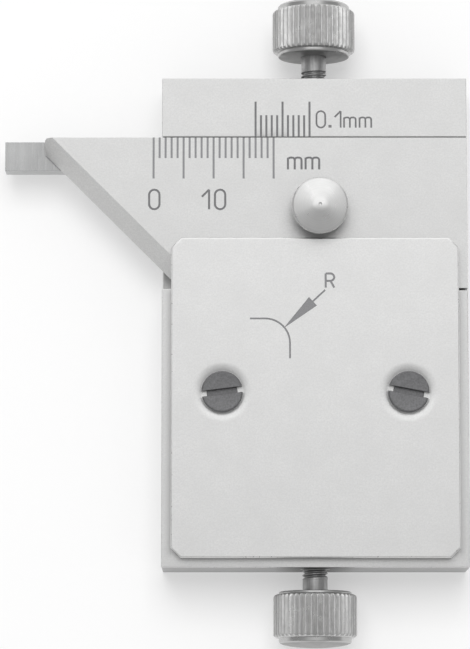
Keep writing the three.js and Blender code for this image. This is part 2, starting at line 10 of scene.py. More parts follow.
import bmesh
import bpy
from bpy.props import FloatProperty, FloatVectorProperty, IntProperty, PointerProperty
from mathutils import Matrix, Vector


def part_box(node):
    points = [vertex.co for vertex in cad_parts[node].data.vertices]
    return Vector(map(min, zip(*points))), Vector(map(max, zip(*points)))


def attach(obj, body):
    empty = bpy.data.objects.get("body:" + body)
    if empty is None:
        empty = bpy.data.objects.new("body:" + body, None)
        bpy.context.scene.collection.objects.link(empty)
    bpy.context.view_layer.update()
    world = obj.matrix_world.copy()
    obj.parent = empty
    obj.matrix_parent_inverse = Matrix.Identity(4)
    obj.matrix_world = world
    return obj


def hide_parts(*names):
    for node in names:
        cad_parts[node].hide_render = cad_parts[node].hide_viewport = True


bl_info = {
    "name": "Radius Gauge",
    "version": (1, 0, 0),
    "blender": (4, 5, 0),
    "location": "3D View > Sidebar > Radius Gauge",
    "description": "Models the pieces, finishes and studio of a radius gauge around its fixed frame",
    "category": "Add Mesh",
}

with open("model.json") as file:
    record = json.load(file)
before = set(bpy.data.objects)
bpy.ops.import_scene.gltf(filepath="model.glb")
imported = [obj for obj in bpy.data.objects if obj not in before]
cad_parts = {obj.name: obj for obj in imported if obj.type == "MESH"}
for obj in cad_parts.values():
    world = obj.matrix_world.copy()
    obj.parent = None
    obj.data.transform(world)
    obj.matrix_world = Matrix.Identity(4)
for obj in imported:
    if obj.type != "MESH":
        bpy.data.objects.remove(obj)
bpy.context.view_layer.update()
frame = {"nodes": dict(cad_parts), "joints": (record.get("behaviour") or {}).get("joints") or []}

# Lengths, angles and how finely round pieces are divided
MM = 0.001
MERGE_DISTANCE = 0.001 * MM
OVERRUN = 1 * MM
FIT_GAP = 0.06 * MM
ROUND_SIDES = 96
BORE_SIDES = 48
SMOOTH_ANGLE = math.radians(32)
FLAT_ANGLE = math.radians(0.5)
QUARTER_TURN = math.pi / 2
FULL_TURN = 2 * math.pi
NORMAL_WEIGHT = 100
Y_AXIS = 1
Z_AXIS = 2

# Shares of a direction along an axis: nearly along it, square to a face, and the most that counts as none
ALONG_SHARE = 0.9
SQUARE_SHARE = 0.99
LEVEL_SHARE = 0.00006


def box_of(node):
    """Lowest corner, highest corner and centre of a frame node."""
    low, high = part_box(node)
    return low, high, (low + high) / 2


def radius_of(node):
    """Radius of a round frame node."""
    low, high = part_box(node)
    return (high.x - low.x) / 2


body_low, body_high, body_centre = box_of("body")
slide_low, slide_high, _ = box_of("slide")
arm_low, arm_high, arm_centre = box_of("contact_arm")
guide_low = box_of("arm_guide_strip")[0]
cover_low, cover_high, cover_centre = box_of("cover_plate")
button_low, button_high, button_centre = box_of("thumb_button")
shoe_low, shoe_high, shoe_centre = box_of("upper_clamp_shoe")
gib_low, gib_high, _ = box_of("slide_gib_strip")
rod_low, rod_high, rod_centre = box_of("lower_push_rod")
STOP_PINS = ("slide_stop_pin", "arm_stop_pin")
DOWELS = ("cover_dowel_lower", "cover_dowel_upper")

# Channel of the body, from the pieces that run in it
ARM_TOP_GAP = 0.1 * MM
SLIDE_BOTTOM_GAP = 0.1 * MM
RIB_RISE = 1 * MM
RIB_HEIGHT = 1.5 * MM
RIB_BELOW_FRONT = 1.55 * MM
RUNNING_GAP = 0.05 * MM
JOINT_RELIEF = 0.26 * MM
JOINT_RELIEF_LENGTH = 1.5 * MM
rail_edge = arm_high.y + ARM_TOP_GAP
block_top = slide_low.y - SLIDE_BOTTOM_GAP
channel_floor = guide_low.z
body_front = body_high.z
slide_top = rail_edge - RUNNING_GAP
slide_front = slide_high.z

# Slide: slanted measuring edge, keel and rib
EDGE_SUM = -16.5 * MM
EDGE_SETBACK = 3.6 * MM
EDGE_LAND = 0.12 * MM
EDGE_STEP = 0.3 * MM
EDGE_RELIEF = 0.15 * MM
TIP_CORNER = 0.3 * MM
BEVEL_AREA = 10 * MM * MM
PLATE_THICKNESS = 4.05 * MM
KEEL_SIDE = 3.5 * MM
slide_plate_back = slide_front - PLATE_THICKNESS
keel_left = body_low.x + KEEL_SIDE
keel_top = guide_low.y - RUNNING_GAP

# Clamp bores
BACK_OFF = 1.4 * MM
POCKET_GAP = 0.15 * MM
BORE_MOUTH = 0.35 * MM
clamp_x = shoe_centre.x
clamp_z = rod_centre.z

# Cover screws in their dishes
DISH_RADIUS = 5 * MM
DISH_DEPTH = 0.2 * MM
DISH_STEPS = 8
SCREW_SHOULDER_RADIUS = 2.5 * MM
SCREW_THREAD_RADIUS = 1.95 * MM
SCREW_HEAD_HEIGHT = 0.95 * MM
SCREW_SLOT_WIDTH = 0.95 * MM
SCREW_TURNS = {"cover_screw_left": math.radians(6.9), "cover_screw_right": math.radians(-10.9)}
SCREW_EDGE = 0.25 * MM
SLOT_EDGE = 0.05 * MM
SLOT_WEAR = 0.85 * MM
dish_floor = cover_high.z - DISH_DEPTH
screw_top = dish_floor + SCREW_HEAD_HEIGHT

# Thumb button
BUTTON_NECK_RADIUS = 2.9 * MM
BUTTON_NECK_HEIGHT = 2.6 * MM
BUTTON_CONE_HEIGHT = 0.9 * MM
BUTTON_RIM_THICKNESS = 1.5 * MM
BUTTON_EDGE = 0.3 * MM
BUTTON_TIP_RADIUS = 1.4 * MM
BUTTON_TIP_STEPS = 6
BUTTON_DIMPLE_RADIUS = 0.28 * MM
BUTTON_DIMPLE_DEPTH = 0.2 * MM
BUTTON_FACE_TURN = 0.6
SPOT_RADIUS = 5.8 * MM
SPOT_DEPTH = 0.15 * MM
BUTTON_SCREW_RADIUS = 1.5 * MM
BUTTON_SCREW_HEAD = 2 * MM
button_screw_top = box_of("button_screw")[1].z

# Studs
STUD_RADIUS = 2.1 * MM
STUD_TIP_RADIUS = 1.5 * MM
STUD_TIP_LENGTH = 1.6 * MM
TIP_EDGE = 0.2 * MM
UPPER_NECK = 2.9 * MM
LOWER_NECK = 2 * MM
NECK_UNDERCUT = 0.03 * MM
THREAD_CREST = 0.04 * MM
THREAD_TURNS = 7

# Knobs
KNOB_RIM_RADIUS = 6.02 * MM
KNOB_RIM_LENGTH = 0.4 * MM
UPPER_RIM_REACH = 0.22 * MM
KNOB_EDGE = 0.25 * MM
KNOB_ROUND_STEPS = 4
KNOB_SHOULDER = 0.7 * MM
KNOB_OUTER_RIM = 0.6 * MM
KNOB_DOME = 0.95 * MM
KNOB_DOME_STEPS = 6
KNOB_BORE_DEPTH = 5.5 * MM
KNOB_FACE_TURN = 0.88
TOOTH_DEPTH_SHARES = (1.0, 0.71, 0.4, 0.1, 0.0, 0.1, 0.4, 0.71)

# Guide strip screws, from the back
GUIDE_SHANK_RADIUS = 1.2 * MM
GUIDE_HEAD_SINK = 0.2 * MM
GUIDE_SLOT_WIDTH = 0.6 * MM
GUIDE_EDGE = 0.05 * MM
GUIDE_TURNS = {"guide_strip_screw_left": 0.6, "guide_strip_screw_right": -0.35}

# Painted shade and painted light that follow the places of pieces
# painted shade in a narrow line beside the cover plate's sides
PLATE_SHADE_WIDTH = 1.1 * MM
PLATE_SHADE_SHARE = 0.8
# painted shade on the end walls round the clamp bores
BORE_SHADE_REACH = 4.5 * MM
BORE_SHADE_SHARE = 0.06
# painted shade on the bar where it goes in under the slide
BAR_SHADE_START = 0.9 * MM
BAR_SHADE_LENGTH = 2.6 * MM
BAR_SHADE_SLANT = 0.3
BAR_SHADE_SHARE = 0.88
# painted light on screw heads, lighter towards their lower side
PAINTED_HEAD_LIGHT_REACH = 6 * MM
PAINTED_HEAD_LIGHT_SHARE = 2.6

# Turning marks and the directions of streaks, small where they run
RING_DETAIL = 2
STREAKS_ALONG_X = (0.03, 1, 1)
STREAKS_ALONG_Y = (1, 0.025, 0.025)
STREAKS_ALONG_Z = (1, 1, 0.05)
CHANNEL_STREAKS = (0.35, 0.02, 0.35)

# Shares of the main colours that single faces and pieces take. Apart from the fills, these lighter and darker
# copies are painted light and painted shade, on the ground walls and the channel together with their own
# duller tone.
END_WALL_SHADE_SHARE = 0.5
CHANNEL_SHADE_SHARE = 0.7
BEVEL_LIGHT_SHARE = 1.08
BEVEL_ROUGHNESS = 0.72
ARM_EDGE_LIGHT_SHARE = 1.15
ARM_SIDE_LIGHT_SHARE = 1.12
COVER_WALL_SHADE_SHARE = 0.55
SCALE_FILL_SHARE = 1.5
SYMBOL_FILL_SHARE = 1.3
BUTTON_NECK_SHADE_SHARE = 0.25
BUTTON_RIM_LIGHT_SHARE = 1.2
KNOB_RIM_SHADE_SHARE = 0.76
KNOB_FACE_SHADE_SHARE = 0.56

# Scales. Lines of a negative length run to -Y.
MAIN_SCALE = {
    "zero": -26.81 * MM,
    "pitch": 1.0 * MM,
    "count": 21,
    "short": -3.5 * MM,
    "long": -6.95 * MM,
}
VERNIER_SCALE = {
    "zero": -9.81 * MM,
    "pitch": 0.9 * MM,
    "count": 11,
    "short": 3.7 * MM,
    "long": 6.0 * MM,
}
LONG_EVERY = 5

# Marks of the slide: mark, left edge, base and height
MAIN_MARKS = (
    ("0", -27.53 * MM, 18.71 * MM, 3.3 * MM),
    ("1", -18.75 * MM, 18.71 * MM, 3.3 * MM),
    ("0", -16.58 * MM, 18.71 * MM, 3.3 * MM),
    ("m", -4.42 * MM, 25.43 * MM, 2.0 * MM),
    ("m", -1.48 * MM, 25.43 * MM, 2.0 * MM),
)

# Marks of the vernier, on one base: mark, left edge and height
VERNIER_MARKS = (
    ("0", 0.35 * MM, 2.8 * MM),
    (".", 2.6 * MM, 2.8 * MM),
    ("1", 3.38 * MM, 2.8 * MM),
    ("m", 4.95 * MM, 1.72 * MM),
    ("m", 7.54 * MM, 1.72 * MM),
)
VERNIER_MARK_RISE = 1.6 * MM
DOT_SHARE = 1.5

# Radius symbol engraved on the cover plate, and the letter beside it
SYMBOL_CORNER = (-8.28 * MM, -4.02 * MM)
SYMBOL_RADIUS = 4.12 * MM
SYMBOL_STEPS = 12
SYMBOL_TAIL = 2.5 * MM
ARROW_TIP = (-5.25 * MM, -1.55 * MM)
ARROW_BASE = ((-1.02 * MM, 3.67 * MM), (0.28 * MM, 2.25 * MM))
LEADER_END = (1.66 * MM, 4.86 * MM)
LETTER_CORNER = (1.75 * MM, 5.25 * MM)
LETTER_HEIGHT = 2.35 * MM

# Shapes of the marks, as shares of their height, and how finely they are drawn and cut
ZERO_WIDTH_SHARE = 0.52
ONE_FLAG_SHARE = 0.36
POINT_SHARE = 0.16
M_STEM_SHARE = 0.565
M_ROUND_SHARE = 0.22
R_BOWL_SHARE = 0.26
R_WIDTH_SHARE = 0.6
M_ROUND_STEPS = 4
BALL_STEPS = 3

# Studio
CAMERA_AIM = Vector((-13.245 * MM, -0.64 * MM, 12 * MM))
SENSOR_WIDTH = 36
CLIP_RATIO = 100
WHITE = (1, 1, 1, 1)
FLOOR_SIZE = 4
FLOOR_DROP = 0.02 * MM
FLOOR_COLOUR = (0.97, 0.97, 0.97, 1)
FLOOR_GLOW_SHARE = 0.4
KEY_PLACE = Vector((-0.06, 0.35, 0.9))
KEY_SIZE = 0.6
TENT_LOW = Vector((-1.9, -1.9, 0))
TENT_HIGH = Vector((1.9, 1.9, 2))
TENT_TONE = 0.42
WINDOW_SIDES = (1.3, 0.75)
WINDOW_NEAR = (-0.02, 0.18)


def size_setting(name, description, millimetres):
    return FloatProperty(name=name, description=description, default=millimetres * MM, unit="LENGTH")


def colour_setting(name, description, default):
    return FloatVectorProperty(
        name=name, description=description, default=default, subtype="COLOR", min=0, max=1
    )


class GaugeSizes(bpy.types.PropertyGroup):
    """Small sizes of the gauge that its frame leaves open"""

    edge_round: size_setting("Edge rounding", "Radius of the broken outer edges of the body", 0.14)
    fine_edge: size_setting("Fine edge rounding", "Radius of the edges of the slide and the bar", 0.06)
    rail_round: size_setting("Rail rounding", "Radius of the rail's front edge over the slide", 0.2)
    cover_corner: size_setting("Cover corner", "Size of the cut corners of the cover plate", 1.65)
    cover_edge: size_setting("Cover edge", "Radius of the front edge of the cover plate", 0.26)
    line_width: size_setting("Line width", "Width of an engraved graduation", 0.34)
    figure_stroke: size_setting("Figure stroke", "Stroke width of the slide's figures and the letter", 0.4)
    fine_stroke: size_setting("Fine stroke", "Stroke width of the vernier's figures and the symbol", 0.31)
    engraving_depth: size_setting("Engraving depth", "Depth of the engraved lines and figures", 0.07)
    knurl_teeth: IntProperty(
        name="Knurl teeth",
        description="Number of teeth round a clamp knob",
        default=43,
    )
    knurl_depth: size_setting("Knurl depth", "Depth of the straight knurl", 0.46)
    thread_pitch: size_setting("Thread pitch", "Pitch of the clamp studs", 0.7)
    thread_depth: size_setting("Thread depth", "Depth of the thread of the clamp studs", 0.38)


class GaugeFinishes(bpy.types.PropertyGroup):
    """Colours of the gauge's finishes"""

    satin_chrome: colour_setting("Satin chrome", "Body and slide", (0.815, 0.815, 0.81))
    cover_chrome: colour_setting("Cover chrome", "Cover plate", (0.865, 0.865, 0.86))
    ground_steel: colour_setting("Ground steel", "Contact bar, guide strip and pins", (0.45, 0.453, 0.453))
    turned_steel: colour_setting("Turned steel", "Thumb button", (0.765, 0.765, 0.76))
    knurled_steel: colour_setting("Knurled steel", "Clamp knobs", (0.7, 0.7, 0.695))
    black_steel: colour_setting("Blackened steel", "Cover screws and inner screws", (0.13, 0.13, 0.133))
    stud_steel: colour_setting("Stud steel", "Threaded clamp studs", (0.48, 0.48, 0.48))
    brass: colour_setting("Brass", "Clamping shoe and gib strip", (0.72, 0.55, 0.27))
    ink: colour_setting("Engraving fill", "Fill of the graduations and figures", (0.17, 0.17, 0.175))


class GaugeStudio(bpy.types.PropertyGroup):
    """Camera and light of the studio"""

    elevation: FloatProperty(
        name="Camera elevation",
        description="Angle of the camera above the horizon",
        default=math.radians(82.371),
        subtype="ANGLE",
        unit="ROTATION",
    )
    distance: size_setting("Camera distance", "Distance of the camera from its aim", 609.65)
    lens: FloatProperty(
        name="Lens",
        description="Focal length in millimetres",
        default=204.16,
        subtype="DISTANCE_CAMERA",
    )
    key_power: FloatProperty(
        name="Key light",
        description="Power of the soft light over the top of the gauge",
        default=4.6,
        unit="POWER",
    )
    window_light: FloatProperty(
        name="Window",
        description="Strength of the bright window over the gauge that the metal reflects",
        default=1.3,
    )
    room_light: FloatProperty(
        name="Room light",
        description="Strength of the white room on the surfaces",
        default=0.62,
    )


# Modelling steps


def deselect_all():
    bpy.ops.object.select_all(action="DESELECT")


def pick(piece):
    deselect_all()
    piece.select_set(True)
    bpy.context.view_layer.objects.active = piece


def place(piece, spot=(0, 0, 0), turn=(0, 0, 0)):
    """Puts a piece in its place and keeps that place in its mesh."""
    pick(piece)
    piece.location = spot
    piece.rotation_euler = turn
    bpy.ops.object.transform_apply(location=True, rotation=True, scale=True)
    return piece


def start_edit(piece, kind, selected="DESELECT"):
    """Opens a piece for editing, with none or all of it selected."""
    pick(piece)
    bpy.ops.object.mode_set(mode="EDIT")
    bpy.ops.mesh.select_mode(type=kind)
    bpy.ops.mesh.select_all(action=selected)
    return bmesh.from_edit_mesh(piece.data)


def end_edit():
    bpy.ops.object.mode_set(mode="OBJECT")


def turn_outwards():
    """Turns all faces of the piece that is open for editing outwards."""
    bpy.ops.mesh.select_all(action="SELECT")
    bpy.ops.mesh.normals_make_consistent(inside=False)


def block(name, low, high):
    """A cube shaped between two corners."""
    low, high = Vector(low), Vector(high)
    deselect_all()
    bpy.ops.mesh.primitive_cube_add(size=1)
    piece = bpy.context.object
    piece.name = name
    piece.scale = high - low
    return place(piece, (low + high) / 2)


def turned(name, profile, sides=ROUND_SIDES):
    """A turned solid about Z: a filled circle is extruded and resized through steps of (radius, height)."""
    radius, height = profile[0]
    deselect_all()
    bpy.ops.mesh.primitive_circle_add(vertices=sides, radius=radius, fill_type="NGON")
    piece = bpy.context.object
    piece.name = name
    place(piece, (0, 0, height))
    start_edit(piece, "FACE", "SELECT")
    for next_radius, next_height in profile[1:]:
        rise = (0, 0, next_height - height)
        bpy.ops.mesh.extrude_region_move(TRANSFORM_OT_translate={"value": rise})
        if next_radius == 0:
            bpy.ops.mesh.merge(type="CENTER")
            break
        share = next_radius / radius
        bpy.ops.transform.resize(value=(share, share, 1), center_override=(0, 0, next_height))
        radius, height = next_radius, next_height
    turn_outwards()
    end_edit()
    return piece


def along_y(piece, spot, outward):
    """Lays a piece that was turned about Z along the Y axis, its top towards outward."""
    return place(piece, spot, (-outward * QUARTER_TURN, 0, 0))


def hole_at(middle, profile, sides=BORE_SIDES):
    """A turned tool that stands over a spot of the front."""
    return place(turned("hole", profile, sides), (middle.x, middle.y, 0))


def give(piece, *finishes):
    """Gives a piece its finishes, the main one first."""
    piece.data.materials.clear()
    for finish in finishes:
        piece.data.materials.append(finish.owner)
    return piece


def paint(piece, finish, wanted):
    """Lets the faces that wanted accepts take another of the piece's finishes."""
    index = piece.data.materials.find(finish.owner.name)
    for face in piece.data.polygons:
        if wanted(face):
            face.material_index = index


def carve(piece, *cutters):
    """Cuts each cutter out of a piece. The cut takes the cutter's finish, or else the piece's main one."""
    for cutter in cutters:
        if piece.data.materials and not cutter.data.materials:
            cutter.data.materials.append(piece.data.materials[0])
        pick(piece)
        cut = piece.modifiers.new("cut", "BOOLEAN")
        cut.operation = "DIFFERENCE"
        cut.solver = "EXACT"
        cut.material_mode = "TRANSFER"
        cut.object = cutter
        bpy.ops.object.modifier_apply(modifier=cut.name)
        bpy.data.objects.remove(cutter)
    if not piece.data.polygons:
        raise RuntimeError(f"cutting left nothing of {piece.name}")
    return piece


def round_edges(piece, wanted, width, segments=3, finish=None):
    """Rounds the edges whose middle and direction wanted accepts, in one of the piece's finishes if given."""
    mesh = start_edit(piece, "EDGE")
    for edge in mesh.edges:
        first, second = (corner.co for corner in edge.verts)
        if len(edge.link_faces) == 2 and edge.calc_face_angle(0) > SMOOTH_ANGLE:
            edge.select = wanted((first + second) / 2, (second - first).normalized())
    mesh.select_flush_mode()
    bmesh.update_edit_mesh(piece.data)
    index = piece.data.materials.find(finish.owner.name) if finish else -1
    bpy.ops.mesh.bevel(offset=width, segments=segments, affect="EDGES", clamp_overlap=True, material=index)
    end_edit()
    return piece


def stands(middle, along):
    """Accepts the edges that stand along Z."""
    return abs(along.z) > ALONG_SHARE


def cut_along(piece, point, normal, drop=True):
    """Cuts a piece along a plane and drops what lies on the side of its normal, or only draws the cut."""
    start_edit(piece, "VERT", "SELECT")
    bpy.ops.mesh.bisect(
        plane_co=point, plane_no=normal, use_fill=drop, clear_outer=drop, threshold=MERGE_DISTANCE
    )
    end_edit()


def pull_faces(piece, wanted, move):
    """Extrudes the faces whose centre and normal wanted accepts."""
    mesh = start_edit(piece, "FACE")
    for face in mesh.faces:
        face.select = wanted(face.calc_center_median(), face.normal)
    mesh.select_flush_mode()
    bmesh.update_edit_mesh(piece.data)
    bpy.ops.mesh.extrude_region_move(TRANSFORM_OT_translate={"value": move})
    end_edit()


def travel_slot(pin_node, joint_name, bottom):
    """The room of a stop pin in the back of the piece that moves over it."""
    _, pin_high, pin = box_of(pin_node)
    half = radius_of(pin_node) + ARM_TOP_GAP
    travel = next(joint for joint in frame["joints"] if joint["name"] == joint_name)["range_m"]
    low = (pin.x - travel[1] - half, pin.y - half, bottom - OVERRUN)
    high = (pin.x - travel[0] + half, pin.y + half, pin_high.z + ARM_TOP_GAP)
    return round_edges(block("slot", low, high), stands, half - FIT_GAP, segments=8)


def finish_piece(piece, body, nodes):
    """Smooths the shading of a finished piece, attaches it to its body and hides the frame nodes it replaces.
    """
    pick(piece)
    bpy.ops.object.shade_smooth_by_angle(angle=SMOOTH_ANGLE)
    even = piece.modifiers.new("even", "WEIGHTED_NORMAL")
    even.keep_sharp = True
    even.weight = NORMAL_WEIGHT
    bpy.ops.object.modifier_apply(modifier=even.name)
    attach(piece, body)
    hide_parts(*nodes)


# Engraving


def arc(centre, radius, start, end, steps=8):
    """Points of an arc between two angles in degrees."""
    points = []
    for step in range(steps + 1):
        angle = math.radians(start + (end - start) * step / steps)
        points.append((centre[0] + radius * math.cos(angle), centre[1] + radius * math.sin(angle)))
    return points


def figure_zero():
    radius = ZERO_WIDTH_SHARE / 2
    return [(arc((radius, radius), radius, 180, 360) + arc((radius, 1 - radius), radius, 0, 180), True)]


def figure_one():
    flag = ONE_FLAG_SHARE
    return [([(0, 1 - flag), (flag, 1)], False), ([(flag, 1), (flag, 0)], False)]


def decimal_point():
    return [([(0, 0), (0, POINT_SHARE)], False)]


def letter_m():
    strokes = [([(0, 1), (0, 0)], False)]
    bend = M_ROUND_SHARE
    for stem in (0, M_STEM_SHARE):
        top = arc((stem + bend, 1 - bend), bend, 180, 90, M_ROUND_STEPS)
        top += arc((stem + M_STEM_SHARE - bend, 1 - bend), bend, 90, 0, M_ROUND_STEPS)
        strokes.append((top + [(stem + M_STEM_SHARE, 0)], False))
    return strokes


def letter_r():
    bowl = R_BOWL_SHARE
    across = R_WIDTH_SHARE - bowl
    round_end = [(0, 1)] + arc((across, 1 - bowl), bowl, 90, -90) + [(0, 1 - 2 * bowl)]
    leg = [(across, 1 - 2 * bowl), (R_WIDTH_SHARE, 0)]
    return [([(0, 0), (0, 1)], False), (round_end, False), (leg, False)]


# Strokes of each mark, one high: a path and whether it closes
MARKS = {"0": figure_zero(), "1": figure_one(), ".": decimal_point(), "m": letter_m(), "R": letter_r()}


def drawn(path, height, closed, dimensions):
    """A curve along a path, at one height."""
    curve = bpy.data.curves.new("tool", "CURVE")
    curve.dimensions = dimensions
    line = curve.splines.new("POLY")
    line.points.add(len(path) - 1)
    for point, (x, y) in zip(line.points, path):
        point.co = (x, y, height, 1)
    line.use_cyclic_u = closed
    return curve


def solid_of(curve, ink, spot=(0, 0, 0)):
    """The closed solid of a curve, in its place, as a tool that leaves ink in its cut."""
    tool = bpy.data.objects.new(curve.name, curve)
    bpy.context.scene.collection.objects.link(tool)
    pick(tool)
    bpy.ops.object.convert(target="MESH")
    tool = place(bpy.context.object, spot)
    start_edit(tool, "VERT", "SELECT")
    bpy.ops.mesh.remove_doubles(threshold=MERGE_DISTANCE)
    turn_outwards()
    end_edit()
    return give(tool, ink)


def ball_tool(path, closed, surface, width, depth, ink):
    """The room of a ball tool that cuts a groove of this width and depth along a path on the surface."""
    rise = (width * width / 4 - depth * depth) / (2 * depth)
    curve = drawn(path, surface + rise, closed, "3D")
    curve.bevel_depth = rise + depth
    curve.bevel_resolution = BALL_STEPS
    curve.use_fill_caps = True
    return solid_of(curve, ink)


def engrave(piece, strokes, corner, height, surface, width, sizes, ink):
    """Engraves strokes that are drawn one high, scaled to height, from their lower left corner."""
    for path, closed in strokes:
        placed = []
        for x, y in path:
            point = (corner[0] + x * height, corner[1] + y * height)
            if not placed or math.dist(point, placed[-1]) > MERGE_DISTANCE:
                placed.append(point)
        carve(piece, ball_tool(placed, closed, surface, width, sizes.engraving_depth, ink))


def graduate(piece, edge, surface, sizes, ink, scale):
    """Engraves the lines of a scale from an edge."""
    half = sizes.line_width / 2
    lines = []
    for index in range(scale["count"]):
        x = scale["zero"] + index * scale["pitch"]
        reach = scale["long"] if index % LONG_EVERY == 0 else scale["short"]
        low_y, high_y = sorted((edge - math.copysign(OVERRUN, reach), edge + reach))
        low = (x - half, low_y, surface - sizes.engraving_depth)
        lines.append(block("line", low, (x + half, high_y, surface + OVERRUN)))
    pick(lines[0])
    for line in lines[1:]:
        line.select_set(True)
    bpy.ops.object.join()
    carve(piece, give(lines[0], ink))


# Finishes


class Nodes:
    """The nodes of a material or of the world."""

    def __init__(self, owner):
        owner.use_nodes = True
        self.owner = owner
        self.tree = owner.node_tree

    def feed(self, socket, value):
        """Gives an input a value, or what another node gives out."""
        if isinstance(value, bpy.types.NodeSocket):
            self.tree.links.new(value, socket)
        else:
            socket.default_value = value

    def node(self, kind, inputs=(), **settings):
        """Adds a node with its settings, and feeds its inputs by name or place."""
        made = self.tree.nodes.new(kind)
        for key, value in settings.items():
            setattr(made, key, value)
        for key, value in dict(inputs).items():
            self.feed(made.inputs[key], value)
        return made

    def show(self, shader):
        self.node("ShaderNodeOutputMaterial", {"Surface": shader.outputs[0]})

    def ranged(self, value, low, high, start=0.3, end=0.7):
        """Runs from low to high while a value runs from start to end."""
        inputs = {"Value": value, "From Min": start, "From Max": end, "To Min": low, "To Max": high}
        return self.node("ShaderNodeMapRange", inputs).outputs["Result"]

    def calculate(self, operation, *values):
        return self.node("ShaderNodeMath", enumerate(values), operation=operation).outputs[0]

    def product(self, first, *others):
        for value in others:
            first = self.calculate("MULTIPLY", first, value)
        return first

    def parts(self, vector):
        return tuple(self.node("ShaderNodeSeparateXYZ", {0: vector}).outputs)

    def seen_by_camera_or_gloss(self):
        """1 for camera, glossy and transmission rays."""
        rays = self.node("ShaderNodeLightPath").outputs
        glossy = self.calculate("MAXIMUM", rays["Is Camera Ray"], rays["Is Glossy Ray"])
        return self.calculate("MAXIMUM", glossy, rays["Is Transmission Ray"])


class Finish(Nodes):
    """A procedural finish on object coordinates. A number for a colour is a share of its main colour."""

    def __init__(self, name, main_colour, metallic=1.0):
        super().__init__(bpy.data.materials.new(name))
        self.main_colour = main_colour
        self.shader = self.tree.nodes["Principled BSDF"]
        self.feed(self.shader.inputs["Metallic"], metallic)
        self.place = self.node("ShaderNodeTexCoord").outputs["Object"]

    def stretched(self, scale, centre=(0, 0, 0), turn=0):
        """Object coordinates about a centre, scaled along each axis and turned about Z."""
        shift = [-middle * factor for middle, factor in zip(centre, scale)]
        inputs = {"Vector": self.place, "Location": shift, "Rotation": (0, 0, -turn), "Scale": scale}
        return self.node("ShaderNodeMapping", inputs, vector_type="POINT").outputs["Vector"]

    def noise(self, size, detail=4, roughness=0.6, place=None):
        """Noise with features of about this size."""
        inputs = {"Vector": place or self.place, "Scale": 1 / size, "Detail": detail, "Roughness": roughness}
        return self.node("ShaderNodeTexNoise", inputs).outputs["Fac"]

    def rings(self, size, centre, axis):
        """Noise that changes only with the distance from an axis, as turning marks do."""
        across = [0 if index == axis else 1 for index in range(3)]
        away = self.node("ShaderNodeVectorMath", {0: self.stretched(across, centre)}, operation="LENGTH")
        inputs = {"W": away.outputs["Value"], "Scale": 1 / size, "Detail": RING_DETAIL}
        return self.node("ShaderNodeTexNoise", inputs, noise_dimensions="1D").outputs["Fac"]

    def distance(self, value, middle):
        """How far a coordinate is from a middle value."""
        return self.calculate("ABSOLUTE", self.calculate("SUBTRACT", value, middle))

    def along(self, direction, start):
        """How far a place lies from a start along a direction."""
        inputs = {0: self.stretched((1, 1, 1), start), 1: direction}
        return self.node("ShaderNodeVectorMath", inputs, operation="DOT_PRODUCT").outputs["Value"]

    def mixed(self, factor, first, second):
        """Colour between two colours."""
        made = self.node("ShaderNodeMix", {"Factor": factor}, data_type="RGBA")
        for name, value in (("A", first), ("B", second)):
            socket = next(x for x in made.inputs if x.name == name and x.type == "RGBA")
            if isinstance(value, (int, float)):
                value = (*shade(self.main_colour, value), 1)
            self.feed(socket, value)
        return next(x for x in made.outputs if x.type == "RGBA")

    def blend(self, noise, first, second, most=1, start=0.3, end=0.7):
        """Goes from the first colour towards the second, at most by this share, as a noise rises."""
        return self.mixed(self.ranged(noise, 0, most, start, end), first, second)

    def colour(self, value):
        self.shown = value
        self.feed(self.shader.inputs["Base Color"], value)

    def roughness(self, noise, low, high):
        self.feed(self.shader.inputs["Roughness"], self.ranged(noise, low, high))

    def bump(self, height, depth, strength):
        """Lays a relief over the ones before it."""
        made = self.node("ShaderNodeBump", {"Height": height, "Distance": depth, "Strength": strength})
        normal = self.shader.inputs["Normal"]
        for link in normal.links:
            self.feed(made.inputs["Normal"], link.from_socket)
        self.feed(normal, made.outputs["Normal"])


def shade(colour, factor):
    return tuple(min(channel * factor, 1) for channel in colour)


def satin_chrome(name, colour, roughness=0.42):
    """Fine matt chrome: a tight grain, faint clouds and a few soft handling marks."""
    finish = Finish(name, colour)
    grain = finish.noise(0.11 * MM)
    cloud = finish.noise(5 * MM)
    fleck = finish.noise(0.5 * MM, detail=3)
    speck = finish.noise(0.26 * MM, detail=2, roughness=0.5)
    clouded = finish.blend(cloud, 0.96, 1.02)
    flecked = finish.blend(fleck, clouded, 0.88, most=0.45, start=0.45, end=0.75)
    finish.colour(finish.blend(speck, flecked, 0.88, most=0.7))
    finish.roughness(grain, roughness - 0.05, roughness + 0.08)
    finish.bump(grain, depth=0.012 * MM, strength=0.35)
    finish.bump(fleck, depth=0.01 * MM, strength=0.15)
    return finish


def front_finish(name, colour):
    """Satin chrome of the body, with painted shade in a narrow line along the sides of the cover plate."""
    finish = satin_chrome(name, colour)
    x, y, _ = finish.parts(finish.place)
    out = finish.distance(x, cover_centre.x)
    half = cover_high.x - cover_centre.x
    beside = finish.ranged(out, 1, 0, half, half + PLATE_SHADE_WIDTH)
    clear_of_plate = finish.ranged(out, 0, 1, half - FIT_GAP, half)
    on_block = finish.ranged(y, 1, 0, block_top - PLATE_SHADE_WIDTH, block_top)
    above_end = finish.ranged(y, 0, 1, cover_low.y, cover_low.y + PLATE_SHADE_WIDTH)
    # painted shade: the chrome is darkened in a narrow line beside the cover plate
    line = finish.product(beside, clear_of_plate, on_block, above_end)
    finish.colour(finish.mixed(line, finish.shown, PLATE_SHADE_SHARE))
    return finish


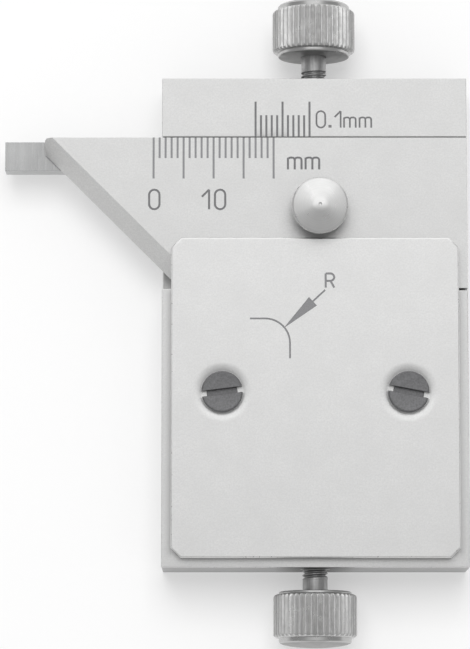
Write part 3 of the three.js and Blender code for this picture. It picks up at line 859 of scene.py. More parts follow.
def wall_finish(name, colour):
    """Ground end faces of the body, with painted shade darkening them round the clamp bores."""
    finish = Finish(name, colour)
    streaks = finish.stretched(STREAKS_ALONG_X)
    fine = finish.noise(0.12 * MM, roughness=0.7, place=streaks)
    broad = finish.noise(0.9 * MM, detail=3, place=streaks)
    banded = finish.blend(broad, finish.blend(fine, 0.78, 1.12), 0.7, most=0.6)
    x, _, _ = finish.parts(finish.place)
    # painted shade: the end walls darken round the clamp bores, where the studs and knobs shade them
    bore_shade = finish.ranged(finish.distance(x, clamp_x), 1, 0, STUD_RADIUS, STUD_RADIUS + BORE_SHADE_REACH)
    finish.colour(finish.mixed(bore_shade, banded, BORE_SHADE_SHARE))
    finish.roughness(fine, 0.28, 0.46)
    finish.bump(fine, depth=0.015 * MM, strength=0.4)
    return finish


def worn_edge_finish(name, colour):
    """Edge where handling has polished the chrome."""
    finish = Finish(name, colour)
    scratch = finish.noise(0.6 * MM)
    finish.colour(finish.blend(scratch, 0.93, 1.04))
    finish.roughness(scratch, 0.26, 0.38)
    finish.bump(scratch, depth=0.003 * MM, strength=0.08)
    return finish


def ground_steel(name, colour, streaks=STREAKS_ALONG_Y, roughness=0.36):
    """Surface ground steel with streaks."""
    finish = Finish(name, colour)
    drawn_out = finish.stretched(streaks)
    fine = finish.noise(0.12 * MM, roughness=0.7, place=drawn_out)
    broad = finish.noise(0.9 * MM, detail=3, place=drawn_out)
    patch = finish.noise(4 * MM, detail=3, roughness=0.5)
    banded = finish.blend(broad, finish.blend(fine, 0.84, 1.12), 0.78, most=0.6)
    finish.colour(finish.blend(patch, banded, 1.16, most=0.35))
    finish.roughness(fine, roughness - 0.08, roughness + 0.1)
    finish.bump(fine, depth=0.015 * MM, strength=0.4)
    finish.bump(broad, depth=0.02 * MM, strength=0.2)
    return finish


def bar_shade_finish(name, colour):
    """Ground steel of the bar, with painted shade where it goes in under the slide."""
    finish = ground_steel(name, colour, roughness=0.3)
    # painted shade: darker where the slide's edge overhangs the bar
    inward = finish.along((1, -BAR_SHADE_SLANT, 0), (slide_low.x - BAR_SHADE_LENGTH, arm_centre.y, 0))
    bar_shade = finish.ranged(inward, 0, 1, 0, BAR_SHADE_START)
    finish.colour(finish.mixed(bar_shade, finish.shown, BAR_SHADE_SHARE))
    return finish


def turned_finish(name, colour, centre, axis, roughness=0.3, stains=0.2):
    """Turned steel with fine tool marks round an axis."""
    finish = Finish(name, colour)
    ring = finish.rings(0.12 * MM, centre, axis)
    broad = finish.rings(0.9 * MM, centre, axis)
    stain = finish.noise(1.6 * MM, detail=3, roughness=0.5)
    banded = finish.blend(broad, finish.blend(ring, 0.95, 1.03), 0.9, most=0.3)
    finish.colour(finish.blend(stain, banded, 0.85, most=stains, start=0.4, end=0.75))
    finish.roughness(stain, roughness - 0.03, roughness + 0.07)
    finish.bump(ring, depth=0.004 * MM, strength=0.15)
    return finish


def knurled_finish(name, colour, centre, roughness=0.3):
    """Rolled knurl along Y: drawn marks along the teeth, with stains in between."""
    finish = Finish(name, colour)
    scored = finish.noise(0.22 * MM, roughness=0.65, place=finish.stretched((1, 0.06, 1), centre))
    stain = finish.noise(1.1 * MM, detail=5, roughness=0.65)
    marked = finish.blend(scored, 0.8, 1.14)
    finish.colour(finish.blend(stain, marked, 0.7, most=0.4, start=0.4, end=0.75))
    finish.roughness(stain, roughness - 0.06, roughness + 0.14)
    finish.bump(scored, depth=0.02 * MM, strength=0.35)
    finish.bump(stain, depth=0.01 * MM, strength=0.2)
    return finish


def black_steel(name, colour, centre, turn=0):
    """Blackened steel, brushed across the head, worn lighter in places, with painted light making it lighter
    towards its lower side.
    """
    finish = Finish(name, colour, metallic=0.85)
    fine = finish.noise(0.1 * MM, roughness=0.7, place=finish.stretched((0.05, 1, 1), centre, turn))
    patch = finish.noise(0.8 * MM)
    ring = finish.rings(0.3 * MM, centre, Z_AXIS)
    fleck = finish.noise(0.3 * MM, detail=3)
    _, y, _ = finish.parts(finish.place)
    # painted light: the head grows lighter towards its lower side
    lower = finish.ranged(y, 0, 1, centre[1] + PAINTED_HEAD_LIGHT_REACH, centre[1] - PAINTED_HEAD_LIGHT_REACH)
    streaked = finish.blend(fine, finish.mixed(lower, 1, PAINTED_HEAD_LIGHT_SHARE), 0.7, most=0.3)
    ringed = finish.blend(ring, streaked, 2.2, most=0.3)
    flecked = finish.blend(fleck, ringed, 0.7, most=0.6)
    finish.colour(finish.blend(patch, flecked, 2.4, most=0.6, start=0.45, end=0.8))
    finish.roughness(patch, 0.32, 0.52)
    finish.bump(fine, depth=0.012 * MM, strength=0.35)
    finish.bump(patch, depth=0.01 * MM, strength=0.2)
    return finish


def worn_slot_finish(name, colour, bright, centre, turn, head):
    """Blackened screw whose slot the driver has worn bright at both ends."""
    finish = black_steel(name, colour, centre, turn)
    lengthwise = finish.distance(finish.along((math.cos(turn), math.sin(turn), 0), centre), 0)
    across = finish.distance(finish.along((-math.sin(turn), math.cos(turn), 0), centre), 0)
    half = SCREW_SLOT_WIDTH / 2
    at_end = finish.ranged(lengthwise, 0, 1, head - SLOT_WEAR, head)
    in_slot = finish.ranged(across, 1, 0, half - SLOT_EDGE, half + SLOT_EDGE)
    wear = finish.ranged(finish.noise(0.5 * MM, detail=3), 0.5, 0.85)
    finish.colour(finish.mixed(finish.product(at_end, in_slot, wear), finish.shown, (*bright, 1)))
    return finish


def brass_finish(name, colour):
    """Machined brass with a faint tarnish."""
    finish = Finish(name, colour)
    fine = finish.noise(0.14 * MM, roughness=0.65, place=finish.stretched((0.04, 1, 1)))
    tarnish = finish.noise(1.8 * MM)
    streaked = finish.blend(fine, 0.85, 1.08)
    finish.colour(finish.blend(tarnish, streaked, 0.6, most=0.5, start=0.45, end=0.8))
    finish.roughness(tarnish, 0.28, 0.5)
    finish.bump(fine, depth=0.012 * MM, strength=0.35)
    return finish


def ink_finish(name, colour):
    """Matt fill in the engraving, thin in places."""
    finish = Finish(name, colour, metallic=0)
    grain = finish.noise(0.12 * MM)
    finish.colour(finish.blend(grain, 0.8, 1.35))
    finish.roughness(grain, 0.6, 0.8)
    finish.bump(grain, depth=0.01 * MM, strength=0.3)
    return finish


def settings():
    scene = bpy.context.scene
    return scene.gauge_sizes, scene.gauge_finishes


# Pieces


class MakeBody(bpy.types.Operator):
    """Block body with the rail, the channel, its bores and the engraved vernier"""

    bl_idname = "gauge.make_body"
    bl_label = "Body"

    def execute(self, context):
        sizes, colours = settings()
        chrome = front_finish("satin_chrome_body", colours.satin_chrome)
        edge = worn_edge_finish("worn_chrome_body", colours.satin_chrome)
        ink = ink_finish("vernier_fill", colours.ink)
        # the end walls take a darker copy of the chrome: partly their own ground tone, partly painted shade
        wall = wall_finish("ground_body_wall", shade(colours.satin_chrome, END_WALL_SHADE_SHARE))
        # the channel takes a darker copy of the chrome: partly its milled tone, partly painted shade
        milled = ground_steel("milled_channel", shade(colours.satin_chrome, CHANNEL_SHADE_SHARE), CHANNEL_STREAKS)
        body = give(block("gauge_body", body_low, body_high), chrome, edge, wall, milled)
        carve(body, *(give(cutter, milled) for cutter in self.channel()))
        round_edges(body, self.is_rail_edge, sizes.rail_round, segments=4)
        round_edges(body, self.is_outer_edge, sizes.edge_round, finish=edge)
        cutters = (*self.clamp_room(), *self.screw_holes(), self.joint_relief())
        carve(body, *(give(cutter, milled) for cutter in cutters))
        self.engrave_vernier(body, sizes, ink)
        paint(body, wall, self.is_end_wall)
        finish_piece(body, "frame", ["body"])
        return {"FINISHED"}

    def channel(self):
        left, right = body_low.x - OVERRUN, body_high.x + OVERRUN
        channel = block("channel", (left, block_top, channel_floor), (right, rail_edge, body_front + OVERRUN))
        rib_front = slide_front - RIB_BELOW_FRONT + RUNNING_GAP
        rib_back = rib_front - RIB_HEIGHT - 2 * RUNNING_GAP
        groove_top = rail_edge + RIB_RISE + RUNNING_GAP
        groove = block("rib_groove", (left, rail_edge - OVERRUN, rib_back), (right, groove_top, rib_front))
        return channel, groove

    def joint_relief(self):
        """Widens the joint under the slide where it shows beside the cover plate."""
        low = (cover_high.x - JOINT_RELIEF_LENGTH, block_top - JOINT_RELIEF, channel_floor)
        high = (body_high.x + OVERRUN, block_top + OVERRUN, body_front + OVERRUN)
        return block("joint_relief", low, high)

    @staticmethod
    def is_rail_edge(middle, along):
        at_front = abs(middle.z - body_front) < FIT_GAP
        return abs(along.x) > ALONG_SHARE and at_front and abs(middle.y - rail_edge) < FIT_GAP

    @staticmethod
    def is_outer_edge(middle, along):
        offsets = (middle - body_low, body_high - middle)
        return min(abs(value) for offset in offsets for value in offset) < FIT_GAP

    @staticmethod
    def is_end_wall(face):
        at_end = abs(abs(face.center.y - body_centre.y) - body_high.y) < FIT_GAP
        return at_end and abs(face.normal.y) > SQUARE_SHARE

    def clamp_room(self):
        """Bores of the studs and the rod, and pockets of the shoe and the gib strip."""
        cutters = []
        stud = STUD_RADIUS + FIT_GAP
        mouth = stud + BORE_MOUTH
        upper_depth = body_high.y - shoe_high.y + BORE_MOUTH + POCKET_GAP
        lower_depth = rod_low.y - body_low.y + POCKET_GAP
        for depth, end, outward in ((upper_depth, body_high.y, 1), (lower_depth, body_low.y, -1)):
            profile = [(stud, -depth), (stud, -BORE_MOUTH), (mouth, 0), (mouth, OVERRUN)]
            cutters.append(along_y(turned("bore", profile, BORE_SIDES), (clamp_x, end, clamp_z), outward))
        rod = rod_high.z - clamp_z + FIT_GAP
        rod_bore = turned("bore", [(rod, rod_low.y), (rod, gib_low.y + POCKET_GAP)], BORE_SIDES)
        cutters.append(along_y(rod_bore, (clamp_x, 0, clamp_z), 1))
        gap = Vector((POCKET_GAP, POCKET_GAP, POCKET_GAP))
        back_off = Vector((0, BACK_OFF, 0))
        shoe_near = (shoe_low.x - POCKET_GAP, rail_edge - OVERRUN, shoe_low.z - POCKET_GAP)
        cutters.append(block("pocket", shoe_near, shoe_high + gap + back_off))
        gib_far = (gib_high.x + POCKET_GAP, block_top + OVERRUN, gib_high.z + POCKET_GAP)
        cutters.append(block("pocket", gib_low - gap - back_off, gib_far))
        return cutters

    def screw_holes(self):
        cutters = []
        holes = {node: radius_of(node) for node in (*STOP_PINS, *DOWELS)}
        holes.update(dict.fromkeys(SCREW_TURNS, SCREW_THREAD_RADIUS))
        for node, radius in holes.items():
            low, _, middle = box_of(node)
            profile = [(radius + FIT_GAP, low.z), (radius + FIT_GAP, body_front + OVERRUN)]
            cutters.append(hole_at(middle, profile))
        shank = GUIDE_SHANK_RADIUS + FIT_GAP
        for node in GUIDE_TURNS:
            head = radius_of(node) + FIT_GAP
            profile = [
                (head, -OVERRUN),
                (head, GUIDE_HEAD_SINK),
                (shank, GUIDE_HEAD_SINK + head - shank),
                (shank, channel_floor + OVERRUN),
            ]
            cutters.append(hole_at(box_of(node)[2], profile))
        return cutters

    def engrave_vernier(self, body, sizes, ink):
        base = rail_edge + VERNIER_MARK_RISE
        for mark, x, height in VERNIER_MARKS:
            stroke = sizes.figure_stroke * DOT_SHARE if mark == "." else sizes.fine_stroke
            engrave(body, MARKS[mark], (x, base), height, body_front, stroke, sizes, ink)
        graduate(body, rail_edge, body_front, sizes, ink, VERNIER_SCALE)


class MakeSlide(bpy.types.Operator):
    """Slide with the slanted measuring edge, keel, rib and engraved main scale"""

    bl_idname = "gauge.make_slide"
    bl_label = "Slide"

    def execute(self, context):
        sizes, colours = settings()
        chrome = satin_chrome("satin_chrome_slide", colours.satin_chrome)
        edge = worn_edge_finish("worn_chrome_slide", colours.satin_chrome)
        figure_ink = ink_finish("figure_fill", colours.ink)
        scale_ink = ink_finish("scale_fill", shade(colours.ink, SCALE_FILL_SHARE))
        # painted light: the slanted bevel takes a lighter copy of the chrome
        bevel = satin_chrome("satin_chrome_bevel", shade(colours.satin_chrome, BEVEL_LIGHT_SHARE), BEVEL_ROUGHNESS)
        plate_low = (slide_low.x, slide_low.y, slide_plate_back)
        plate_high = (slide_high.x, slide_top, slide_front)
        slide = give(block("graduated_slide", plate_low, plate_high), chrome, edge, bevel)
        self.slant(slide)
        self.add_keel_and_rib(slide)
        round_edges(slide, self.is_tip_corner, TIP_CORNER, segments=1)
        round_edges(slide, self.is_front_edge, sizes.fine_edge, segments=2, finish=edge)
        paint(slide, bevel, self.is_bevel)
        carve(slide, *self.back_cuts(), self.button_spot())
        width = sizes.figure_stroke
        for mark, x, base, height in MAIN_MARKS:
            engrave(slide, MARKS[mark], (x, base), height, slide_front, width, sizes, figure_ink)
        graduate(slide, slide_top, slide_front, sizes, scale_ink, MAIN_SCALE)
        finish_piece(slide, "measuring_slide", ["slide"])
        return {"FINISHED"}

    def slant(self, slide):
        """Cuts the slanted end, its bevel and the relief behind the measuring edge."""
        outward = Vector((-1, -1, 0)).normalized()
        edge_point = Vector((EDGE_SUM - slide_low.y, slide_low.y, slide_front))
        cut_along(slide, edge_point, outward)
        bevel_width = EDGE_SETBACK / math.sqrt(2)
        land_bottom = slide_plate_back + EDGE_STEP
        bevel_fall = slide_front - land_bottom - EDGE_LAND
        bevel_normal = (outward * bevel_fall + Vector((0, 0, bevel_width))).normalized()
        cut_along(slide, edge_point - outward * bevel_width, bevel_normal)
        relief_point = Vector((edge_point.x, edge_point.y, land_bottom))
        relief_fall = land_bottom - slide_plate_back
        relief_normal = (outward * relief_fall - Vector((0, 0, EDGE_RELIEF))).normalized()
        cut_along(slide, relief_point, relief_normal)

    def add_keel_and_rib(self, slide):
        rib_front = slide_front - RIB_BELOW_FRONT
        rib_back = rib_front - RIB_HEIGHT
        cut_along(slide, (keel_left, 0, 0), (1, 0, 0), drop=False)
        cut_along(slide, (0, keel_top, 0), (0, 1, 0), drop=False)
        cut_along(slide, (0, 0, rib_front), (0, 0, 1), drop=False)
        cut_along(slide, (0, 0, rib_back), (0, 0, 1), drop=False)

        def under_keel(centre, normal):
            return normal.z < -ALONG_SHARE and centre.x > keel_left and centre.y < keel_top

        def at_rib(centre, normal):
            return normal.y > ALONG_SHARE and centre.x > keel_left and rib_back < centre.z < rib_front

        pull_faces(slide, under_keel, (0, 0, slide_low.z - slide_plate_back))
        pull_faces(slide, at_rib, (0, slide_high.y - slide_top, 0))
        start_edit(slide, "FACE", "SELECT")
        bpy.ops.mesh.dissolve_limited(angle_limit=FLAT_ANGLE)
        turn_outwards()
        end_edit()

    @staticmethod
    def is_tip_corner(middle, along):
        at_tip = abs(middle.x - slide_low.x) < FIT_GAP and abs(middle.y - slide_top) < FIT_GAP
        return at_tip and stands(middle, along)

    @staticmethod
    def is_front_edge(middle, along):
        return abs(middle.z - slide_front) < FIT_GAP and max(abs(along.x), abs(along.y)) > ALONG_SHARE

    @staticmethod
    def is_bevel(face):
        return LEVEL_SHARE < face.normal.z < 1 - LEVEL_SHARE and face.area > BEVEL_AREA

    def back_cuts(self):
        head = radius_of("button_screw") + FIT_GAP
        shank = BUTTON_SCREW_RADIUS + FIT_GAP
        step = slide_low.z + BUTTON_SCREW_HEAD + ARM_TOP_GAP
        profile = [(head, slide_low.z - OVERRUN), (head, step), (shank, step), (shank, slide_front + OVERRUN)]
        return travel_slot("slide_stop_pin", "slide_travel", slide_low.z), hole_at(button_centre, profile)

    def button_spot(self):
        profile = [
            (BUTTON_NECK_RADIUS, slide_front - SPOT_DEPTH),
            (SPOT_RADIUS, slide_front),
            (SPOT_RADIUS, slide_front + OVERRUN),
        ]
        return hole_at(button_centre, profile, ROUND_SIDES)


class MakeContactArm(bpy.types.Operator):
    """Ground contact bar behind the slide"""

    bl_idname = "gauge.make_contact_arm"
    bl_label = "Contact arm"

    def execute(self, context):
        sizes, colours = settings()
        ground = bar_shade_finish("ground_arm_face", colours.ground_steel)
        # painted light: the bar's rounded edges and its long sides take lighter copies of its steel
        edge = worn_edge_finish("worn_arm_edge", shade(colours.ground_steel, ARM_EDGE_LIGHT_SHARE))
        side = ground_steel("ground_arm_side", shade(colours.ground_steel, ARM_SIDE_LIGHT_SHARE), STREAKS_ALONG_X)
        bar = give(block("contact_bar", arm_low, arm_high), ground, edge, side)
        round_edges(bar, lambda middle, along: True, sizes.fine_edge, segments=2, finish=edge)
        paint(bar, side, lambda face: abs(face.normal.y) > ALONG_SHARE)
        carve(bar, travel_slot("arm_stop_pin", "arm_travel", arm_low.z))
        finish_piece(bar, "arm", ["contact_arm"])
        return {"FINISHED"}


class MakeCoverPlate(bpy.types.Operator):
    """Cover plate with cut corners, dished screw seats and the engraved radius symbol"""

    bl_idname = "gauge.make_cover_plate"
    bl_label = "Cover plate"

    def execute(self, context):
        sizes, colours = settings()
        chrome = satin_chrome("cover_chrome", colours.cover_chrome, roughness=0.4)
        edge = worn_edge_finish("worn_cover_edge", colours.cover_chrome)
        ink = ink_finish("symbol_fill", shade(colours.ink, SYMBOL_FILL_SHARE))
        # the plate's side walls take a darker copy of its chrome: partly their ground tone, partly painted
        # shade
        wall_colour = shade(colours.cover_chrome, COVER_WALL_SHADE_SHARE)
        wall = ground_steel("ground_cover_wall", wall_colour, STREAKS_ALONG_Z)
        plate = give(block("front_cover", cover_low, cover_high), chrome, edge, wall)
        round_edges(plate, stands, sizes.cover_corner, segments=1)
        round_edges(plate, self.is_front_edge, sizes.cover_edge, finish=edge)
        paint(plate, wall, lambda face: abs(face.normal.z) < LEVEL_SHARE)
        carve(plate, *self.seats())
        self.engrave_symbol(plate, sizes, ink)
        finish_piece(plate, "frame", ["cover_plate"])
        return {"FINISHED"}

    @staticmethod
    def is_front_edge(middle, along):
        return middle.z > cover_high.z - FIT_GAP

    def seats(self):
        cutters = []
        shoulder = SCREW_SHOULDER_RADIUS + FIT_GAP
        for node in SCREW_TURNS:
            profile = [
                (shoulder, cover_low.z - OVERRUN),
                (shoulder, dish_floor),
                *self.dish(radius_of(node) + FIT_GAP),
                (DISH_RADIUS, cover_high.z + OVERRUN),
            ]
            cutters.append(hole_at(box_of(node)[2], profile, ROUND_SIDES))
        for node in DOWELS:
            _, high, middle = box_of(node)
            radius = radius_of(node) + FIT_GAP
            cutters.append(hole_at(middle, [(radius, cover_low.z - OVERRUN), (radius, high.z + ARM_TOP_GAP)]))
        return cutters

    def dish(self, head):
        """Hollow round a screw head that runs out flat into the plate's front."""
        points = []
        for step in range(DISH_STEPS + 1):
            share = step / DISH_STEPS
            points.append((head + (DISH_RADIUS - head) * share, cover_high.z - DISH_DEPTH * (1 - share) ** 2))
        return points

    def engrave_symbol(self, plate, sizes, ink):
        """A rounded corner, an arrow that points at it and the letter at the arrow's other end."""
        left, bottom = SYMBOL_CORNER
        start = (left - SYMBOL_TAIL, bottom + SYMBOL_RADIUS)
        end = (left + SYMBOL_RADIUS, bottom - SYMBOL_TAIL)
        corner = [start, *arc(SYMBOL_CORNER, SYMBOL_RADIUS, 90, 0, SYMBOL_STEPS), end]
        leader = [[sum(pair) / 2 for pair in zip(*ARROW_BASE)], LEADER_END]
        for path in (corner, leader):
            engrave(plate, [(path, False)], (0, 0), 1, cover_high.z, sizes.fine_stroke, sizes, ink)
        arrow = drawn((ARROW_TIP, *ARROW_BASE), 0, True, "2D")
        arrow.fill_mode = "BOTH"
        arrow.extrude = sizes.engraving_depth
        carve(plate, solid_of(arrow, ink, (0, 0, cover_high.z)))
        width = sizes.figure_stroke
        engrave(plate, MARKS["R"], LETTER_CORNER, LETTER_HEIGHT, cover_high.z, width, sizes, ink)


class MakeCoverScrews(bpy.types.Operator):
    """Slotted screws of the cover plate"""

    bl_idname = "gauge.make_cover_screws"
    bl_label = "Cover screws"

    def execute(self, context):
        colours = settings()[1]
        half = SCREW_SLOT_WIDTH / 2
        for node, turn in SCREW_TURNS.items():
            low, _, middle = box_of(node)
            head = radius_of(node)
            profile = [
                (SCREW_THREAD_RADIUS, low.z),
                (SCREW_THREAD_RADIUS, body_front),
                (SCREW_SHOULDER_RADIUS, body_front),
                (SCREW_SHOULDER_RADIUS, dish_floor),
                (head, dish_floor),
                (head, screw_top),
            ]
            screw = turned(f"{node}_slotted", profile)
            round_edges(screw, self.is_top_edge, SCREW_EDGE)
            reach = head + OVERRUN
            carve(screw, block("slot", (-reach, -half, dish_floor), (reach, half, screw_top + OVERRUN)))
            round_edges(screw, self.is_slot_edge, SLOT_EDGE, segments=1)
            centre = (middle.x, middle.y, 0)
            place(screw, centre, (0, 0, turn))
            bright = colours.turned_steel
            give(screw, worn_slot_finish(f"black_{node}", colours.black_steel, bright, centre, turn, head))
            finish_piece(screw, "frame", [node])
        return {"FINISHED"}

    @staticmethod
    def is_top_edge(middle, along):
        return middle.z > screw_top - FIT_GAP

    @staticmethod
    def is_slot_edge(middle, along):
        return middle.z > screw_top - FIT_GAP and abs(along.x) > ALONG_SHARE


class MakeThumbButton(bpy.types.Operator):
    """Turned thumb button with its coned face"""

    bl_idname = "gauge.make_thumb_button"
    bl_label = "Thumb button"

    def execute(self, context):
        colours = settings()[1]
        radius = radius_of("thumb_button")
        rim_top = button_high.z - BUTTON_CONE_HEIGHT
        rim_back = rim_top - BUTTON_RIM_THICKNESS
        profile = [
            (BUTTON_NECK_RADIUS, button_low.z),
            (BUTTON_NECK_RADIUS, slide_front + BUTTON_NECK_HEIGHT),
            (radius, rim_back),
            (radius, rim_top),
            *self.rounded_tip(radius),
            (0, button_high.z - BUTTON_DIMPLE_DEPTH),
        ]
        button = turned("coned_button", profile)
        round_edges(button, lambda middle, along: abs(middle.z - rim_top) < FIT_GAP, BUTTON_EDGE)
        bore = BUTTON_SCREW_RADIUS + FIT_GAP
        steps = [(bore, button_low.z - OVERRUN), (bore, button_screw_top + ARM_TOP_GAP)]
        carve(button, turned("bore", steps, BORE_SIDES))
        place(button, (button_centre.x, button_centre.y, 0))
        steel, about = colours.turned_steel, (button_centre, Z_AXIS)
        face = turned_finish("turned_button", steel, *about, roughness=0.29, stains=0.05)
        # painted shade: the neck under the rim takes a near-black copy of the stud steel
        neck = turned_finish("turned_neck", shade(colours.stud_steel, BUTTON_NECK_SHADE_SHARE), *about, roughness=0.45)
        # painted light: the rim's side wall takes a lighter copy of the button's steel
        rim = turned_finish("turned_rim", shade(steel, BUTTON_RIM_LIGHT_SHARE), *about, roughness=0.26, stains=0.05)
        give(button, face, neck, rim)
        paint(button, rim, lambda face: abs(face.normal.z) < BUTTON_FACE_TURN)
        paint(button, neck, lambda face: face.center.z < rim_back)
        finish_piece(button, "measuring_slide", ["thumb_button"])
        return {"FINISHED"}

    def rounded_tip(self, radius):
        """Tip of the cone, rounded so that it meets the cone's slope, down to the turning centre's dimple."""
        slope = BUTTON_CONE_HEIGHT / (radius - BUTTON_TIP_RADIUS / 2)
        width = BUTTON_TIP_RADIUS - BUTTON_DIMPLE_RADIUS
        points = []
        for step in range(BUTTON_TIP_STEPS):
            out = BUTTON_TIP_RADIUS - width * step / (BUTTON_TIP_STEPS - 1)
            points.append((out, button_high.z - slope * out * out / (2 * BUTTON_TIP_RADIUS)))
        return points


class MakeClampKnobs(bpy.types.Operator):
    """Knurled knobs of the two clamp screws"""

    bl_idname = "gauge.make_clamp_knobs"
    bl_label = "Clamp knobs"

    def execute(self, context):
        sizes, colours = settings()
        steel = colours.knurled_steel
        for node, body, outward, reach in (
            ("upper_clamp_knob", "upper_clamp", 1, UPPER_RIM_REACH),
            ("lower_clamp_knob", "lower_clamp", -1, 0),
        ):
            low, high, middle = box_of(node)
            knob = self.knurled_knob(f"{node}_knurled", radius_of(node), high.y - low.y + reach, reach, sizes)
            inner_face = (low.y if outward > 0 else high.y) - outward * reach
            along_y(knob, (middle.x, inner_face, middle.z), outward)
            # painted shade: the rims and dome take a darker copy of the knob's steel, the flat end faces a
            # darker one still
            turned_steel = turned_finish(f"turned_{node}", shade(steel, KNOB_RIM_SHADE_SHARE), middle, Y_AXIS, 0.28)
            knurled = knurled_finish(f"knurled_{node}", steel, middle)
            faced = turned_finish(f"faced_{node}", shade(steel, KNOB_FACE_SHADE_SHARE), middle, Y_AXIS, 0.42)

            def is_barrel(face):
                away = math.hypot(face.center.x - middle.x, face.center.z - middle.z)
                return away > KNOB_RIM_RADIUS + FIT_GAP

            give(knob, turned_steel, knurled, faced)
            paint(knob, faced, lambda face: abs(face.normal.y) > KNOB_FACE_TURN)
            paint(knob, knurled, is_barrel)
            finish_piece(knob, body, [node])
        return {"FINISHED"}

    def knurled_knob(self, name, radius, length, reach, sizes):
        """Knob up Z from its inner face: rim, toothed barrel between round shoulders, rim and dome."""
        rim = KNOB_RIM_RADIUS
        barrel_start = KNOB_RIM_LENGTH + reach
        barrel_end = length - KNOB_DOME - KNOB_OUTER_RIM
        turns = [QUARTER_TURN * step / KNOB_ROUND_STEPS for step in range(KNOB_ROUND_STEPS + 1)]
        profile = []
        for turn in turns:
            profile.append((rim - KNOB_EDGE * (1 - math.sin(turn)), KNOB_EDGE * (1 - math.cos(turn))))
        profile.append((rim, barrel_start))
        shoulder = []
        for turn in turns[1:]:
            shoulder.append((rim + (radius - rim) * math.sin(turn), KNOB_SHOULDER * (1 - math.cos(turn))))
        profile += [(width, barrel_start + rise) for width, rise in shoulder]
        profile += [(width, barrel_end - rise) for width, rise in reversed(shoulder)]
        profile.append((rim, barrel_end))
        for step in range(KNOB_DOME_STEPS):
            turn = QUARTER_TURN * step / KNOB_DOME_STEPS
            profile.append((rim * math.cos(turn), length - KNOB_DOME + KNOB_DOME * math.sin(turn)))
        profile.append((0, length))
        knob = turned(name, profile, sizes.knurl_teeth * len(TOOTH_DEPTH_SHARES))
        self.roll_teeth(knob, radius, sizes)
        bore = STUD_RADIUS + FIT_GAP
        return carve(knob, turned("bore", [(bore, -OVERRUN), (bore, KNOB_BORE_DEPTH)], BORE_SIDES))

    def roll_teeth(self, knob, radius, sizes):
        """Presses each phase of the teeth towards the axis, level by level, as far as its depth asks."""
        reaches = [radius - sizes.knurl_depth * share for share in TOOTH_DEPTH_SHARES]
        step = FULL_TURN / (sizes.knurl_teeth * len(reaches))
        mesh = start_edit(knob, "VERT")
        groups = {}
        for corner in mesh.verts:
            here = corner.co.to_2d().length
            phase = round(math.atan2(corner.co.y, corner.co.x) / step) % len(reaches)
            if here > reaches[phase] + MERGE_DISTANCE:
                groups.setdefault((round(here / MERGE_DISTANCE), phase), []).append(corner.index)
        for (level, phase), indices in sorted(groups.items()):
            bpy.ops.mesh.select_all(action="DESELECT")
            mesh = bmesh.from_edit_mesh(knob.data)
            mesh.verts.ensure_lookup_table()
            for index in indices:
                mesh.verts[index].select = True
            share = reaches[phase] / (level * MERGE_DISTANCE)
            bpy.ops.transform.resize(value=(share, share, 1), center_override=(0, 0, 0))
        end_edit()


class MakeClampStuds(bpy.types.Operator):
    """Threaded studs of the two clamp screws"""

    bl_idname = "gauge.make_clamp_studs"
    bl_label = "Clamp studs"

    def execute(self, context):
        sizes, colours = settings()
        for node, knob, body, outward, neck in (
            ("upper_clamp_stud", "upper_clamp_knob", "upper_clamp", 1, UPPER_NECK),
            ("lower_clamp_stud", "lower_clamp_knob", "lower_clamp", -1, LOWER_NECK),
        ):
            low, high, middle = box_of(node)
            knob_low, knob_high, _ = box_of(knob)
            tip, end = (low.y, high.y) if outward > 0 else (high.y, low.y)
            knob_face = knob_low.y if outward > 0 else knob_high.y
            stud = self.threaded_stud(f"{node}_threaded", abs(end - tip), abs(knob_face - tip), neck, sizes)
            along_y(stud, (middle.x, tip, middle.z), outward)
            give(stud, knurled_finish(f"steel_{node}", colours.stud_steel, middle, roughness=0.36))
            finish_piece(stud, body, [node])
        return {"FINISHED"}

    def threaded_stud(self, name, length, neck_end, neck_length, sizes):
        """Stud up Z from its tip, with a helical thread up to the neck under the knob."""
        neck = STUD_RADIUS - NECK_UNDERCUT
        neck_start = neck_end - neck_length
        profile = [
            (STUD_TIP_RADIUS - TIP_EDGE, 0),
            (STUD_TIP_RADIUS, TIP_EDGE),
            (STUD_TIP_RADIUS, STUD_TIP_LENGTH),
            (STUD_RADIUS, STUD_TIP_LENGTH + STUD_RADIUS - STUD_TIP_RADIUS),
            (STUD_RADIUS, neck_start),
            (neck, neck_start + NECK_UNDERCUT),
            (neck, neck_end),
            (STUD_RADIUS, neck_end),
            (STUD_RADIUS, length),
        ]
        stud = turned(name, profile, BORE_SIDES)
        return carve(stud, self.thread_tool(neck_start - THREAD_TURNS * sizes.thread_pitch, sizes))

    def thread_tool(self, start, sizes):
        """Helical V tool: one section of the groove, swept up and round by the Screw modifier."""
        half = sizes.thread_pitch / 2 - THREAD_CREST
        root = STUD_RADIUS - sizes.thread_depth
        out = STUD_RADIUS + THREAD_CREST
        section = ((root, -THREAD_CREST), (out, -half), (out, half), (root, THREAD_CREST))
        deselect_all()
        bpy.ops.mesh.primitive_circle_add(vertices=len(section), radius=half, fill_type="NOTHING")
        tool = bpy.context.object
        for corner, (x, rise) in zip(tool.data.vertices, section):
            corner.co = (x, 0, start + rise)
        screw = tool.modifiers.new("thread", "SCREW")
        screw.axis = "Z"
        screw.angle = FULL_TURN
        screw.screw_offset = sizes.thread_pitch
        screw.iterations = THREAD_TURNS
        screw.steps = BORE_SIDES
        screw.render_steps = BORE_SIDES
        screw.use_smooth_shade = False
        bpy.ops.object.modifier_apply(modifier=screw.name)
        mesh = start_edit(tool, "EDGE")
        for edge in mesh.edges:
            edge.select = edge.is_boundary
        bmesh.update_edit_mesh(tool.data)
        bpy.ops.mesh.edge_face_add()
        turn_outwards()
        end_edit()
        return tool


